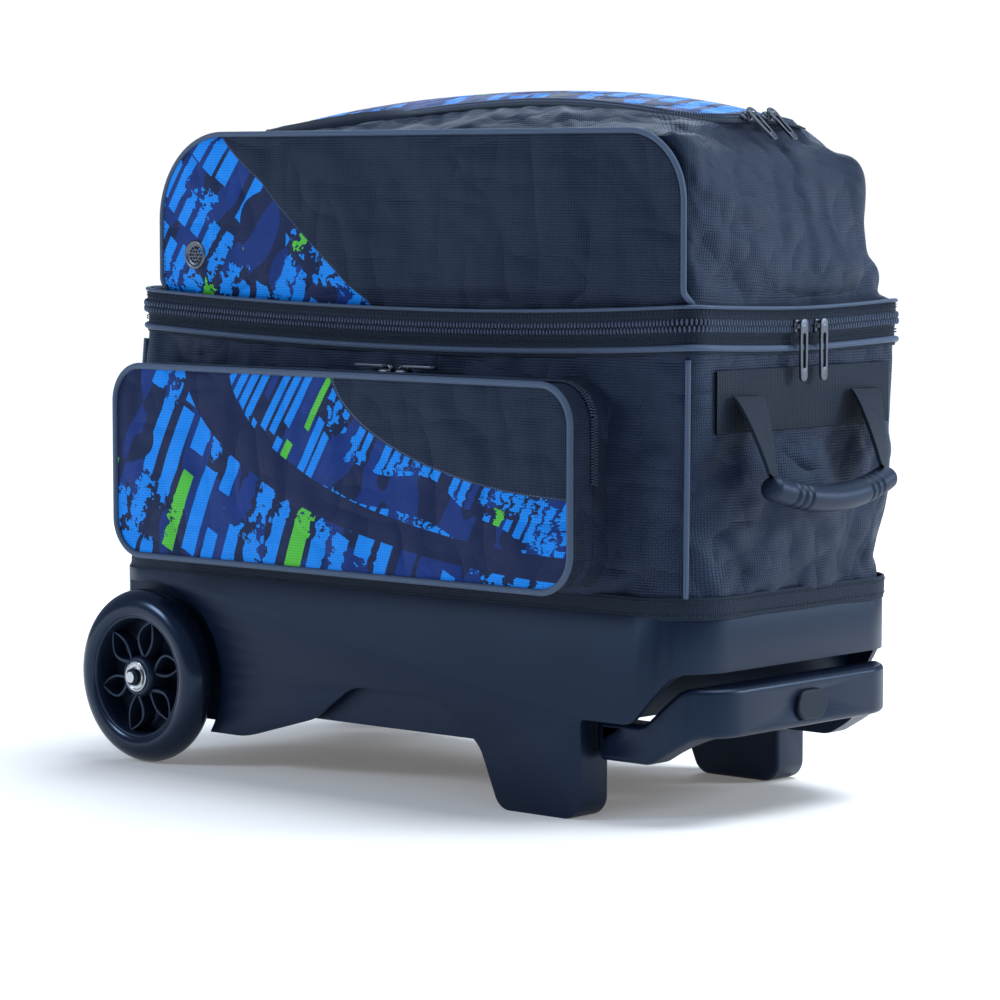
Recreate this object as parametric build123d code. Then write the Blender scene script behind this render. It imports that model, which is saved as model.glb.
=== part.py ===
from build123d import *
from math import atan2, cos, degrees, radians, sin
import os

# Two-ball roller bag, millimetres, +Z up, +X towards the tow grip, -Y towards the front pocket.
# Places are first given about the middle of the base; the last step moves the origin to the
# bottom centre of the whole bag's box.

# ---- wheels
WHEEL_R = 63.5
TYRE_TUBE_R = 13.0
TYRE_DEPTH = 18.5
TYRE_SEAT_R = WHEEL_R - TYRE_DEPTH
HUB_WIDTH = 22.0
RIM_LIP = 6.0
BOSS_R = 15.0
PETALS = 6
PETAL_HALF = 9.5
PETAL_LEAN = 0.55
SPOKE_T = 2.6
SPOKE_DEPTH = 14.0
BEARING_R = 11.0
BEARING_WIDTH = 23.0
AXLE_R = 4.0
AXLE_CLEAR = 0.05
NUT_R = 7.0
NUT_END = 1.0
AXLE_RIB_T = 12.0
AXLE_RIB_HALF = 24.0
AXLE_RIB_DROP = 16.0

# ---- moulded base tub; heights follow the wheel
BASE_LEFT = -280.0
BASE_RIGHT = 274.0
BASE_HALF = 122.0
BASE_CORNER = 44.0
BASE_WALL = 4.0
FLOOR_OVER_AXLE = 8.5
FLOOR_T = 4.0
RIM_OVER_WHEEL = 13.0
TAIL_DROP = 37.0
FLOOR_BOTTOM = WHEEL_R + FLOOR_OVER_AXLE
FLOOR_TOP = FLOOR_BOTTOM + FLOOR_T
RIM_TOP = 2 * WHEEL_R + RIM_OVER_WHEEL
RIM_BOTTOM = RIM_TOP - TAIL_DROP
TAIL_LENGTH = 48.0
RECESS_X = BASE_RIGHT - TAIL_LENGTH
WELL_DEPTH = 6.0
WELL_WALL = 3.0
WELL_CLEAR = 3.5
WELL_FACE = BASE_HALF - WELL_DEPTH
SKIRT_BOTTOM = 26.0
WHEEL_FROM_END = 56.0
WHEEL_OUT = 10.0
WHEEL_X = BASE_LEFT + WHEEL_FROM_END
WHEEL_Y = BASE_HALF + WHEEL_OUT
AXLE_PROUD = 17.5
AXLE_END = WHEEL_Y + AXLE_PROUD
FOOT_LENGTH = 72.0
FOOT_FROM_END = 90.0
FOOT_RIGHT = BASE_RIGHT - FOOT_FROM_END
FOOT_LEFT = FOOT_RIGHT - FOOT_LENGTH
FOOT_DEPTH = 30.0
FOOT_INNER = BASE_HALF - FOOT_DEPTH
FOOT_WALL = 4.0
FOOT_EDGE = 3.5
ARCH_FROM_WHEEL = 92.0
ARCH_LEFT = WHEEL_X + ARCH_FROM_WHEEL
ARCH_KNEE = (68.0, 19.0)
ARCH_HEAD = 106.0
ARCH_FALL = 64.0
ARCH_HEEL = (18.0, 30.0)
BEYOND = 20.0

# ---- telescoping tow frame; each tube slides in the next
OUTER_TUBE = 22.0
TUBE_WALL = 1.5
STAGE_GAP = 0.3
MID_TUBE = OUTER_TUBE - 2 * (TUBE_WALL + STAGE_GAP)
INNER_TUBE = MID_TUBE - 2 * (TUBE_WALL + STAGE_GAP)
HOUSING_WALL = 3.0
TUBE_ROOM = 8.0
TUBE_Y = BASE_HALF - BASE_WALL - TUBE_ROOM - OUTER_TUBE / 2
TUBE_Z = FLOOR_BOTTOM - HOUSING_WALL - OUTER_TUBE / 2
TUBE_LEFT = WHEEL_X + 60.0
STAGE_STEP = 4.0
COLLAR_T = 2.0
COLLAR_LIP = 1.2

# ---- tow grip and its push button
GRIP_PROUD = 8.0
GRIP_FRONT = BASE_RIGHT + GRIP_PROUD
GRIP_DEPTH = 22.0
GRIP_WALL = 2.6
ARM_WIDTH = INNER_TUBE + 2 * GRIP_WALL
GRIP_HALF = TUBE_Y + ARM_WIDTH / 2
GRIP_CORNER = 38.0
ARM_BELOW_TUBE = 10.6
ARM_BOTTOM = TUBE_Z - INNER_TUBE / 2 - ARM_BELOW_TUBE
ARM_TOP = TUBE_Z + INNER_TUBE / 2 + GRIP_WALL
BAR_CLEAR = 10.0
BAR_HEIGHT = 33.0
BAR_TOP = RIM_BOTTOM - BAR_CLEAR
BAR_BOTTOM = BAR_TOP - BAR_HEIGHT
ARM_CLEAR = 1.5
ARM_STEP = 30.0
ARM_STEP_START = RECESS_X + 1.0
ARM_STEP_END = ARM_STEP_START + ARM_STEP
TUBE_SOCKET = 26.0
GRIP_ROUND = 4.0
BUTTON_WIDTH = 32.0
BUTTON_HEIGHT = 20.0
BUTTON_Z = BAR_BOTTOM + 15.0
BUTTON_DEPTH = 11.0
BUTTON_PROUD = 3.0
BUTTON_TRAVEL = 4.0
BUTTON_CLEAR = 0.3
BUTTON_ROUND = 1.4

# ---- lower, ball compartment; it stands on the rim
BAG_INSET = 2.0
BAG_HALF = BASE_HALF - BAG_INSET
BAG_RIGHT = BASE_RIGHT
BAG_LEFT_INSET = 3.0
BAG_LEAN = 30.0
BAG_LEFT_LOW = BASE_LEFT + BAG_LEFT_INSET
BAG_LEFT_TOP = BAG_LEFT_LOW + BAG_LEAN
BAG_CORNER_LOW = 43.0
BAG_CORNER_TOP = 26.0
BAG_WALL = 5.0
BAG_HEIGHT = 176.0
BAG_TOP = RIM_TOP + BAG_HEIGHT
BINDING_HEIGHT = 14.0
BINDING_T = 1.6
PIPING_R = 2.2

# ---- main zipper band and lid hinge
BAND_PROUD = 3.0
BAND_LAP = 8.0
BAND_BELOW = 20.0
BAND_ABOVE = 16.0
BAND_LOW = BAG_TOP - BAND_LAP
ZIP_Z = BAND_LOW + BAND_BELOW
BAND_TOP = ZIP_Z + BAND_ABOVE
BAND_CORNER = BAG_CORNER_TOP + 4.0
BAND_T = 3.0
ZIP_GAP = 0.4

# ---- upper, shoe compartment
UPPER_LEFT = BAG_LEFT_TOP + 25.0
UPPER_RIGHT = BAG_RIGHT - 2.0
UPPER_FRONT = -BAG_HALF + 1.0
UPPER_BACK = BAG_HALF - 10.0
SHOULDER_HEIGHT = 130.0
UPPER_SHOULDER = ZIP_Z + SHOULDER_HEIGHT
CROWN_RISE = 29.0
UPPER_CROWN = UPPER_SHOULDER + CROWN_RISE
UPPER_CORNER = 24.0
UPPER_END_ROUND = 29.0
UPPER_BACK_ROUND = 28.0
UPPER_FRONT_ROUND = 16.0
LEFT_RUN = 70.0
LEFT_FALL = 16.0
PEAK_RUN = 170.0
SLOPE_RUN = 40.0
SLOPE_TOP = 19.0
SLOPE_FOOT = 26.0
SIDE_DROP = 8.0
BACK_RUN = 42.0
BACK_DROP = 26.0
BACK_FALL = 4.0
FRONT_RUN = 44.0
UPPER_WALL = 4.0
FLOOR_BOARD_T = 4.0
PANEL_LEFT = UPPER_LEFT + 6.0
PANEL_RIGHT = UPPER_RIGHT - 2.0
PANEL_LOW = BAND_TOP + 3.0
PANEL_TOP = UPPER_SHOULDER - 1.0
PANEL_TOP_LEFT_R = 62.0
PANEL_TOP_RIGHT_R = 46.0
PANEL_LOW_R = 10.0
PANEL_T = 2.0
VENT_R = 11.0
VENT_RIM = 1.5
VENT_HOLE = 0.9
VENT_X = PANEL_LEFT + 38.0
VENT_Z = PANEL_LOW + 24.0

# ---- top flap
FLAP_LEFT = UPPER_LEFT + 38.0
FLAP_RIGHT = UPPER_RIGHT - 44.0
FLAP_FRONT = UPPER_FRONT + 57.0
FLAP_BACK = UPPER_BACK - 38.0
FLAP_CORNER = 34.0
FLAP_SLOT = 0.8

# ---- front pocket
POCKET_LEFT = BAG_LEFT_LOW + 55.0
POCKET_RIGHT = BAG_RIGHT - 64.0
POCKET_LOW = RIM_TOP + BINDING_HEIGHT + 2.0
POCKET_TOP = BAG_TOP - 24.0
POCKET_DEPTH = 42.0
POCKET_FRONT = -BAG_HALF - POCKET_DEPTH
POCKET_CORNER = 26.0
POCKET_SKIN = 3.0
POCKET_FRONT_DEPTH = 22.0
POCKET_ZIP_Y = POCKET_FRONT + POCKET_FRONT_DEPTH
POCKET_FOLD_UP = 68.0
POCKET_FOLD = POCKET_LOW + POCKET_FOLD_UP
POCKET_GAP = 0.6

# ---- end carry handles
HANDLE_BAND_TOP = BAG_TOP - 15.0
HANDLE_BAND_HEIGHT = 41.0
HANDLE_BAND_LOW = HANDLE_BAND_TOP - HANDLE_BAND_HEIGHT
HANDLE_BAND_HALF = BAG_HALF - BAG_CORNER_TOP - 2.0
HANDLE_BAND_T = 2.0
HANDLE_PIVOT_Z = HANDLE_BAND_LOW + 23.0
HANDLE_STRAP_WIDTH = 36.0
HANDLE_STRAP_T = 3.0
HANDLE_STRAP_Y = 66.0
HANDLE_STRAP_IN = 6.0
HANDLE_DROP = 47.0
HANDLE_OUT = 19.0
HANDLE_GRIP_R = 10.5
HANDLE_GRIP_BOW = 12.0
HANDLE_GRIP_OUT = 3.0
HANDLE_CLEAR = 0.5

# ---- zipper sliders and pulls
SLIDER_LENGTH = 13.0
SLIDER_HEIGHT = 11.0
SLIDER_T = 5.0
SLIDER_ROUND = 2.5
SLIDER_CLEAR = 0.3
SLIDER_SPACING = 22.0
POCKET_SLIDER_SPACING = 16.0
PULL_WIDTH = 8.0
PULL_T = 2.0
PULL_ROUND = 3.0
PULL_EYE = 2.0
SLOT_WIDTH = 3.36
SLOT_ROUND = 1.2
MAIN_PULL = 40.0
SMALL_PULL = 30.0
POCKET_SLIDER_X = POCKET_RIGHT - 182.0
SLOPE_SHARE = 0.08

# ---- inside the ball compartment
PAD_T = 2.0
PAD_CLEAR = 2.0
PAD_CORNER = 20.0
CRADLE_R = 76.0
CRADLE_HOLE_R = 56.0
CRADLE_HEIGHT = 16.0
BALL_X = (-129.0, 108.0)
DIVIDER_T = 13.0
DIVIDER_HALF = WELL_FACE - 20.0
DIVIDER_TOP = FLOOR_TOP + 160.0

nodes = {}


def prism(x0, x1, y0, y1, corner, z0, z1):
    """Upright block with a rounded-rectangle plan."""
    plan = RectangleRounded(x1 - x0, y1 - y0, corner)
    return Pos((x0 + x1) / 2, (y0 + y1) / 2, z0) * extrude(plan, z1 - z0)


def block(x0, x1, y0, y1, z0, z1):
    """Plain box between two corners."""
    centre = Pos((x0 + x1) / 2, (y0 + y1) / 2, (z0 + z1) / 2)
    return centre * Box(x1 - x0, y1 - y0, z1 - z0)


def side_profile(points, rounds, y0, y1):
    """Solid whose side view is a polygon of X and Z points with rounded corners."""
    outline = FilletPolyline(*points, radius=rounds, close=True)
    face = make_face(outline)
    return Pos(0, y1, 0) * extrude(Plane.XZ * face, y1 - y0)


def mirrored(shape):
    """The shape with its mirror image across the XZ plane."""
    return shape + mirror(shape, Plane.XZ)


# ---------------------------------------------------------------- base tub
def base_side_view():
    """Side view of the skirt: long arch, foot and stepped tail."""
    points = [
        (BASE_LEFT - BEYOND, RIM_TOP + BEYOND),
        (BASE_LEFT - BEYOND, SKIRT_BOTTOM),
        (ARCH_LEFT, SKIRT_BOTTOM),
        (ARCH_LEFT + ARCH_KNEE[0], SKIRT_BOTTOM + ARCH_KNEE[1]),
        (ARCH_LEFT + ARCH_HEAD, FLOOR_BOTTOM - 1),
        (FOOT_LEFT - ARCH_FALL, FLOOR_BOTTOM + 1),
        (FOOT_LEFT - ARCH_HEEL[0], FLOOR_BOTTOM - ARCH_HEEL[1]),
        (FOOT_LEFT, 0),
        (FOOT_RIGHT, 0),
        (FOOT_RIGHT, ARM_TOP),
        (ARM_STEP_START, ARM_TOP),
        (ARM_STEP_END, RIM_BOTTOM),
        (BASE_RIGHT + BEYOND, RIM_BOTTOM),
        (BASE_RIGHT + BEYOND, RIM_TOP + BEYOND),
    ]
    rounds = [1, 1, 60, 50, 30, 34, 26, 14, 14, 3, 14, 14, 1, 1]
    return side_profile(points, rounds, -BASE_HALF - BEYOND, BASE_HALF + BEYOND)


def wheel_wells(inset):
    """Pair of arches that clear the wheels; inset thickens the wall left round them."""
    reach = WHEEL_R + WELL_CLEAR + inset
    depth = BASE_HALF + BEYOND - WELL_FACE + inset
    arch = Pos(WHEEL_X, WELL_FACE - inset + depth / 2, WHEEL_R) * Rot(90, 0, 0) * Cylinder(reach, depth)
    open_end = block(BASE_LEFT - BEYOND, WHEEL_X, WELL_FACE - inset, BASE_HALF + BEYOND, -BEYOND,
                     WHEEL_R + reach)
    return mirrored(arch + open_end)


def tail_recess(inset):
    """Space under the tail's rim that the tow grip parks in."""
    return block(RECESS_X - inset, BASE_RIGHT + BEYOND, -BASE_HALF - BEYOND, BASE_HALF + BEYOND,
                 -BEYOND, RIM_BOTTOM + inset)


def housing_block(margin, x0, x1):
    """Square block about the tow tube, margin wider than the tube all round."""
    reach = OUTER_TUBE / 2 + margin
    return block(x0, x1, TUBE_Y - reach, TUBE_Y + reach, TUBE_Z - reach, TUBE_Z + reach)


def base_shell():
    """Tub with rim, skirts, hollow feet, tube housings and axle ribs in one moulding."""
    outer = prism(BASE_LEFT, BASE_RIGHT, -BASE_HALF, BASE_HALF, BASE_CORNER, 0, RIM_TOP)
    room = prism(BASE_LEFT + BASE_WALL, BASE_RIGHT - BASE_WALL, -BASE_HALF + BASE_WALL,
                 BASE_HALF - BASE_WALL, BASE_CORNER - BASE_WALL, -1, RIM_TOP + 1)
    skirt = ((outer - room) & base_side_view()) - wheel_wells(0)
    skirt -= block(BASE_LEFT, WHEEL_X, -WELL_FACE, WELL_FACE, 0, FLOOR_BOTTOM)
    tub = outer & block(BASE_LEFT, BASE_RIGHT, -BASE_HALF, BASE_HALF, FLOOR_BOTTOM, RIM_TOP)
    tub -= wheel_wells(0) + tail_recess(0)
    cavity = room & block(BASE_LEFT, BASE_RIGHT, -BASE_HALF, BASE_HALF, FLOOR_TOP, RIM_TOP + 1)
    cavity -= wheel_wells(WELL_WALL) + tail_recess(BASE_WALL)
    foot_box = block(FOOT_LEFT - BEYOND, FOOT_RIGHT, FOOT_INNER, BASE_HALF, 0, FLOOR_BOTTOM)
    foot_room = block(FOOT_LEFT + FOOT_WALL, FOOT_RIGHT - FOOT_WALL, FOOT_INNER + FOOT_WALL,
                      BASE_HALF - BASE_WALL, FOOT_WALL, FLOOR_BOTTOM)
    feet = mirrored(foot_box - foot_room) & base_side_view()
    bottom_edges = feet.edges().filter_by(Axis.X).group_by(Axis.Z)[0]
    feet = fillet(bottom_edges, FOOT_EDGE)
    well_front = wheel_wells(WELL_WALL) - wheel_wells(0)
    well_front &= block(WHEEL_X + AXLE_RIB_HALF, 0, TUBE_Y, BASE_HALF - BASE_WALL / 2,
                        SKIRT_BOTTOM + 8, FLOOR_BOTTOM)
    rib = block(WHEEL_X - AXLE_RIB_HALF, WHEEL_X + AXLE_RIB_HALF, WELL_FACE - AXLE_RIB_T,
                WELL_FACE, WHEEL_R - AXLE_RIB_DROP, FLOOR_BOTTOM)
    housing = housing_block(HOUSING_WALL, TUBE_LEFT - HOUSING_WALL, FOOT_RIGHT)
    shell = skirt + (tub - cavity) + feet + mirrored(well_front + rib + housing)
    shell -= mirrored(housing_block(0, TUBE_LEFT, FOOT_RIGHT + 1))
    shell -= Pos(WHEEL_X, 0, WHEEL_R) * Rot(90, 0, 0) * Cylinder(AXLE_R, 2 * AXLE_END)
    return shell


# ---------------------------------------------------------------- wheels
def wheel_at(shape, side):
    """Turns a shape made about +Z so that its axis lies on the axle, at one side."""
    return Pos(WHEEL_X, side * WHEEL_Y, WHEEL_R) * Rot(90, 0, 0) * shape


def tyre():
    """Round-section tyre with a cylindrical seat."""
    ring = Torus(WHEEL_R - TYRE_TUBE_R, TYRE_TUBE_R)
    filler = Cylinder(WHEEL_R - TYRE_TUBE_R, 2 * TYRE_TUBE_R - 4)
    return ring + filler - Cylinder(TYRE_SEAT_R, 4 * TYRE_TUBE_R)


def petal():
    """Leaf-shaped rib between boss and rim: a lens of two arcs, hollowed."""
    inner_r = BOSS_R - 2
    outer_r = TYRE_SEAT_R - RIM_LIP + 2
    bulge = ThreePointArc((inner_r, 0), ((inner_r + outer_r) / 2, PETAL_HALF), (outer_r, 0))
    flat = ThreePointArc((outer_r, 0), ((inner_r + outer_r) / 2, -PETAL_HALF * PETAL_LEAN), (inner_r, 0))
    leaf = make_face(Curve() + [bulge, flat])
    core = offset(leaf, -SPOKE_T, kind=Kind.INTERSECTION)
    return Pos(0, 0, -SPOKE_DEPTH / 2) * extrude(leaf - core, SPOKE_DEPTH)


def hub():
    """Rim and boss joined by six leaf-shaped spokes."""
    rim = Cylinder(TYRE_SEAT_R, HUB_WIDTH) - Cylinder(TYRE_SEAT_R - RIM_LIP, HUB_WIDTH)
    boss = Cylinder(BOSS_R, HUB_WIDTH)
    leaves = [Rot(0, 0, i * 360 / PETALS) * petal() for i in range(PETALS)]
    body = rim + boss
    for leaf in leaves:
        body += leaf
    return body - Cylinder(BEARING_R, 2 * HUB_WIDTH)


def bearing():
    """Ball bearing drawn as its closed ring."""
    return Cylinder(BEARING_R, BEARING_WIDTH) - Cylinder(AXLE_R + AXLE_CLEAR, 2 * BEARING_WIDTH)


def axle():
    """Steel cross axle through the base's ribs."""
    return Pos(WHEEL_X, 0, WHEEL_R) * Rot(90, 0, 0) * Cylinder(AXLE_R, 2 * AXLE_END)


def axle_collars(y0, y1):
    """Pair of rings round the axle between two distances from the middle."""
    ring = Cylinder(NUT_R, y1 - y0) - Cylinder(AXLE_R, 2 * (y1 - y0))
    ring = Pos(WHEEL_X, (y0 + y1) / 2, WHEEL_R) * Rot(90, 0, 0) * ring
    return mirrored(ring)


# ---------------------------------------------------------------- tow frame
def square_tubes(size, x0, x1):
    """Pair of square tubes along X at the tow frame's height."""
    outside = block(x0, x1, TUBE_Y - size / 2, TUBE_Y + size / 2, TUBE_Z - size / 2, TUBE_Z + size / 2)
    bore = size / 2 - TUBE_WALL
    inside = block(x0 - 1, x1 + 1, TUBE_Y - bore, TUBE_Y + bore, TUBE_Z - bore, TUBE_Z + bore)
    return mirrored(outside - inside)


def tube_collars(size, hole, x0):
    """Pair of plastic guide rings at a tube's mouth."""
    outside = block(x0, x0 + COLLAR_T, TUBE_Y - size / 2, TUBE_Y + size / 2,
                    TUBE_Z - size / 2, TUBE_Z + size / 2)
    reach = hole / 2
    inside = block(x0 - 1, x0 + COLLAR_T + 1, TUBE_Y - reach, TUBE_Y + reach,
                   TUBE_Z - reach, TUBE_Z + reach)
    return mirrored(outside - inside)


def grip_side_view():
    """Side view of the grip: low arms that step up to the cross bar."""
    points = [
        (GRIP_ARM_LEFT, ARM_BOTTOM),
        (ARM_STEP_START + 4, ARM_BOTTOM),
        (ARM_STEP_END + 8, BAR_BOTTOM),
        (GRIP_FRONT + BEYOND, BAR_BOTTOM),
        (GRIP_FRONT + BEYOND, BAR_TOP),
        (ARM_STEP_END, BAR_TOP),
        (ARM_STEP_START, ARM_TOP - ARM_CLEAR),
        (GRIP_ARM_LEFT, ARM_TOP - ARM_CLEAR),
    ]
    rounds = [3, 18, 18, 1, 1, 16, 16, 3]
    return side_profile(points, rounds, -GRIP_HALF - BEYOND, GRIP_HALF + BEYOND)


def oval(width, height, x0, x1):
    """Oval post along X on the grip's middle, between two X places."""
    face = Plane.YZ * SlotOverall(width, height)
    return Pos(x0, 0, BUTTON_Z) * extrude(face, x1 - x0)


def tow_grip():
    """U-shaped grip whose arms take the inner tubes, with a pocket for its button."""
    outer = prism(-GRIP_FRONT, GRIP_FRONT, -GRIP_HALF, GRIP_HALF, GRIP_CORNER, 0, RIM_TOP)
    inner = prism(-GRIP_FRONT, GRIP_FRONT - GRIP_DEPTH, -GRIP_HALF + ARM_WIDTH,
                  GRIP_HALF - ARM_WIDTH, GRIP_CORNER - ARM_WIDTH, -1, RIM_TOP + 1)
    grip = (outer - inner) & grip_side_view()
    front_edges = grip.edges().filter_by(Axis.Y).group_by(Axis.X)[-1]
    grip = fillet(front_edges, GRIP_ROUND)
    reach = INNER_TUBE / 2
    socket = block(GRIP_ARM_LEFT - 1, GRIP_ARM_LEFT + TUBE_SOCKET, TUBE_Y - reach, TUBE_Y + reach,
                   TUBE_Z - reach, TUBE_Z + reach)
    room = oval(BUTTON_WIDTH + 2 * BUTTON_CLEAR, BUTTON_HEIGHT + 2 * BUTTON_CLEAR,
                GRIP_FRONT - BUTTON_DEPTH - BUTTON_TRAVEL - BUTTON_CLEAR, GRIP_FRONT + BEYOND)
    return grip - mirrored(socket) - room


def tow_button():
    """Oval push button with a softened face."""
    button = oval(BUTTON_WIDTH, BUTTON_HEIGHT, GRIP_FRONT - BUTTON_DEPTH, GRIP_FRONT + BUTTON_PROUD)
    return fillet(button.faces().sort_by(Axis.X)[-1].edges(), BUTTON_ROUND)


COLLAR_X = FOOT_RIGHT
MID_COLLAR_X = COLLAR_X + COLLAR_T + STAGE_GAP
GRIP_ARM_LEFT = MID_COLLAR_X + COLLAR_T + STAGE_GAP


# ---------------------------------------------------------------- lower bag
def bag_taper(inset, z0, z1):
    """Loft of the lower bag's outline, whose left end leans in towards the top."""
    sections = []
    for z in (z0, z1):
        share = (z - RIM_TOP) / (BAG_TOP - RIM_TOP)
        left = BAG_LEFT_LOW + share * (BAG_LEFT_TOP - BAG_LEFT_LOW) + inset
        corner = BAG_CORNER_LOW + share * (BAG_CORNER_TOP - BAG_CORNER_LOW) - inset
        right = BAG_RIGHT - inset
        plan = RectangleRounded(right - left, 2 * (BAG_HALF - inset), corner)
        sections.append(Pos((left + right) / 2, 0, z) * plan)
    return loft(sections)


def lower_bag():
    """Padded fabric wall of the ball compartment, open at both ends."""
    return bag_taper(0, RIM_TOP, BAG_TOP) - bag_taper(BAG_WALL, RIM_TOP, BAG_TOP)


def bottom_binding():
    """Binding tape sewn round the bag's lower edge."""
    top = RIM_TOP + BINDING_HEIGHT
    return bag_taper(-BINDING_T, RIM_TOP, top) - bag_taper(0, RIM_TOP, top)


def corner_cord(edges, sign):
    """Cord up one front corner; edges gives the bag's end at the cord's foot and head."""
    places = []
    for edge, z in zip(edges, (RIM_TOP + BINDING_HEIGHT + PIPING_R / 2, BAND_LOW - PIPING_R / 2)):
        share = (z - RIM_TOP) / BAG_HEIGHT
        corner = BAG_CORNER_LOW + share * (BAG_CORNER_TOP - BAG_CORNER_LOW)
        inset = corner - (corner + PIPING_R) * sin(radians(45))
        places.append((edge + share * sign[1] - sign[0] * inset, -BAG_HALF + inset, z))
    path = Line(places[0], places[1])
    return sweep(Plane(origin=places[0], z_dir=path % 0) * Circle(PIPING_R), path)


def corner_piping():
    """Round piping up the bag's front corners, lying on the fabric."""
    right = corner_cord((BAG_RIGHT, BAG_RIGHT), (1, 0))
    left = corner_cord((BAG_LEFT_LOW, BAG_LEFT_LOW), (-1, BAG_LEAN))
    return right + left


def band_ring(z0, z1):
    """Part of the main zipper band between two heights."""
    outside = prism(BAG_LEFT_TOP - BAND_PROUD, BAG_RIGHT + BAND_PROUD, -BAG_HALF - BAND_PROUD,
                    BAG_HALF + BAND_PROUD, BAND_CORNER, z0, z1)
    inset = BAND_T - BAND_PROUD
    inside = prism(BAG_LEFT_TOP + inset, BAG_RIGHT - inset, -BAG_HALF + inset,
                   BAG_HALF - inset, BAND_CORNER - BAND_T, z0 - 1, z1 + 1)
    return outside - inside


def main_zip_lower():
    """Lower half of the zipper band, wrapped round the bag's top edge."""
    return band_ring(BAND_LOW, ZIP_Z - ZIP_GAP) - bag_taper(0, BAND_LOW - 2, BAG_TOP)


def main_zip_upper():
    """Upper half of the zipper band, carried by the lid."""
    return band_ring(ZIP_Z, BAND_TOP)


# ---------------------------------------------------------------- upper bag
def upper_form(inset):
    """Body of the shoe compartment: its front view cut by its side view."""
    low = ZIP_Z + FLOOR_BOARD_T
    left = UPPER_LEFT + inset
    right = UPPER_RIGHT - inset
    shoulder = UPPER_SHOULDER - inset
    crown = UPPER_CROWN - inset
    front_view = make_face(
        FilletPolyline(
            (left, low), (left, shoulder - SIDE_DROP), (left + LEFT_RUN, crown - LEFT_FALL),
            (right - PEAK_RUN, crown), (right - SLOPE_RUN, crown - SLOPE_TOP),
            (right, shoulder - SLOPE_FOOT), (right, low),
            radius=[2, UPPER_END_ROUND, 60, 160, 16, 30, 2], close=True))
    along_y = Pos(0, BAG_HALF, 0) * extrude(Plane.XZ * front_view, 2 * BAG_HALF)
    front = UPPER_FRONT + inset
    back = UPPER_BACK - inset
    side_view = make_face(
        FilletPolyline(
            (front, low), (back, low), (back, shoulder - BACK_DROP), (back - BACK_RUN, crown - BACK_FALL),
            (front + FRONT_RUN, crown + 2), (front, shoulder),
            radius=[1, 1, UPPER_BACK_ROUND, 40, 60, UPPER_FRONT_ROUND], close=True))
    along_x = Pos(left, 0, 0) * extrude(Plane.YZ * side_view, right - left)
    plan = prism(left, right, front, back, UPPER_CORNER - inset, low, crown + BEYOND)
    return along_y & along_x & plan


def flap_prism(margin):
    """Upright block of the flap's outline, margin larger all round."""
    return prism(FLAP_LEFT - margin, FLAP_RIGHT + margin, FLAP_FRONT - margin, FLAP_BACK + margin,
                 FLAP_CORNER + margin, UPPER_SHOULDER - 3 * BEYOND, UPPER_CROWN + BEYOND)


def divider_board():
    """Stiff floor of the shoe compartment, which closes the ball compartment."""
    margin = BAND_T + 1
    return prism(BAG_LEFT_TOP + margin, BAG_RIGHT - margin, -BAG_HALF + margin, BAG_HALF - margin,
                 BAND_CORNER - 6, ZIP_Z, ZIP_Z + FLOOR_BOARD_T)


def lid_shoulder():
    """Fabric strip that joins the wide zipper band to the narrower upper bag."""
    top = BAND_TOP
    outside = prism(BAG_LEFT_TOP, BAG_RIGHT, -BAG_HALF, BAG_HALF, BAND_CORNER - BAND_T, top - 4, top)
    return outside - upper_form(0)


def front_outline(x0, x1, z0, z1, rounds, y):
    """Closed outline in a plane of constant Y; rounds go up the left side and down the right."""
    points = [(x0, z0), (x0, z1), (x1, z1), (x1, z0)]
    return Pos(0, y, 0) * (Plane.XZ * FilletPolyline(*points, radius=rounds, close=True)).wire()


def round_cord(path, r):
    """Round cord along a closed path."""
    section = Plane(origin=path @ 0.3, z_dir=path % 0.3) * Circle(r)
    return sweep(section, path)


def panel_outline(inset, y):
    """Outline of the shoe compartment's front panel, inset from its piping's middle."""
    rounds = [PANEL_LOW_R, PANEL_TOP_LEFT_R - inset, PANEL_TOP_RIGHT_R - inset, PANEL_LOW_R]
    return front_outline(PANEL_LEFT + inset, PANEL_RIGHT - inset, PANEL_LOW + inset,
                         PANEL_TOP - inset, rounds, y)


def upper_front_panel():
    """Sewn-on front panel of the shoe compartment, with its vent hole."""
    panel = extrude(make_face(panel_outline(PIPING_R, UPPER_FRONT)), PANEL_T, dir=(0, -1, 0))
    hole = Pos(VENT_X, UPPER_FRONT, VENT_Z) * Rot(90, 0, 0) * Cylinder(VENT_R * 0.6, BEYOND)
    return panel - hole


def vent_eyelet():
    """Metal vent: a rolled rim round a perforated disc."""
    rim = Torus(VENT_R - VENT_RIM, VENT_RIM)
    disc = Cylinder(VENT_R - VENT_RIM, 0.8 * VENT_RIM)
    for ring, count in ((0.0, 1), (3.0, 6), (6.0, 12)):
        for i in range(count):
            angle = radians(360 * i / count)
            disc -= Pos(ring * cos(angle), ring * sin(angle), 0) * Cylinder(VENT_HOLE, 4)
    vent = rim + disc
    return Pos(VENT_X, UPPER_FRONT - PANEL_T - VENT_RIM, VENT_Z) * Rot(90, 0, 0) * vent


# ---------------------------------------------------------------- pocket
def pocket_box(inset, y0, y1):
    """Block of the pocket's outline, seen from the front, between two Y places."""
    width = POCKET_RIGHT - POCKET_LEFT - 2 * inset
    height = POCKET_TOP - POCKET_LOW - 2 * inset
    plan = RectangleRounded(width, height, POCKET_CORNER - inset)
    middle = ((POCKET_LEFT + POCKET_RIGHT) / 2, y1, (POCKET_LOW + POCKET_TOP) / 2)
    plane = Plane(origin=middle, x_dir=(1, 0, 0), z_dir=(0, -1, 0))
    return extrude(plane * plan, y1 - y0)


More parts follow.
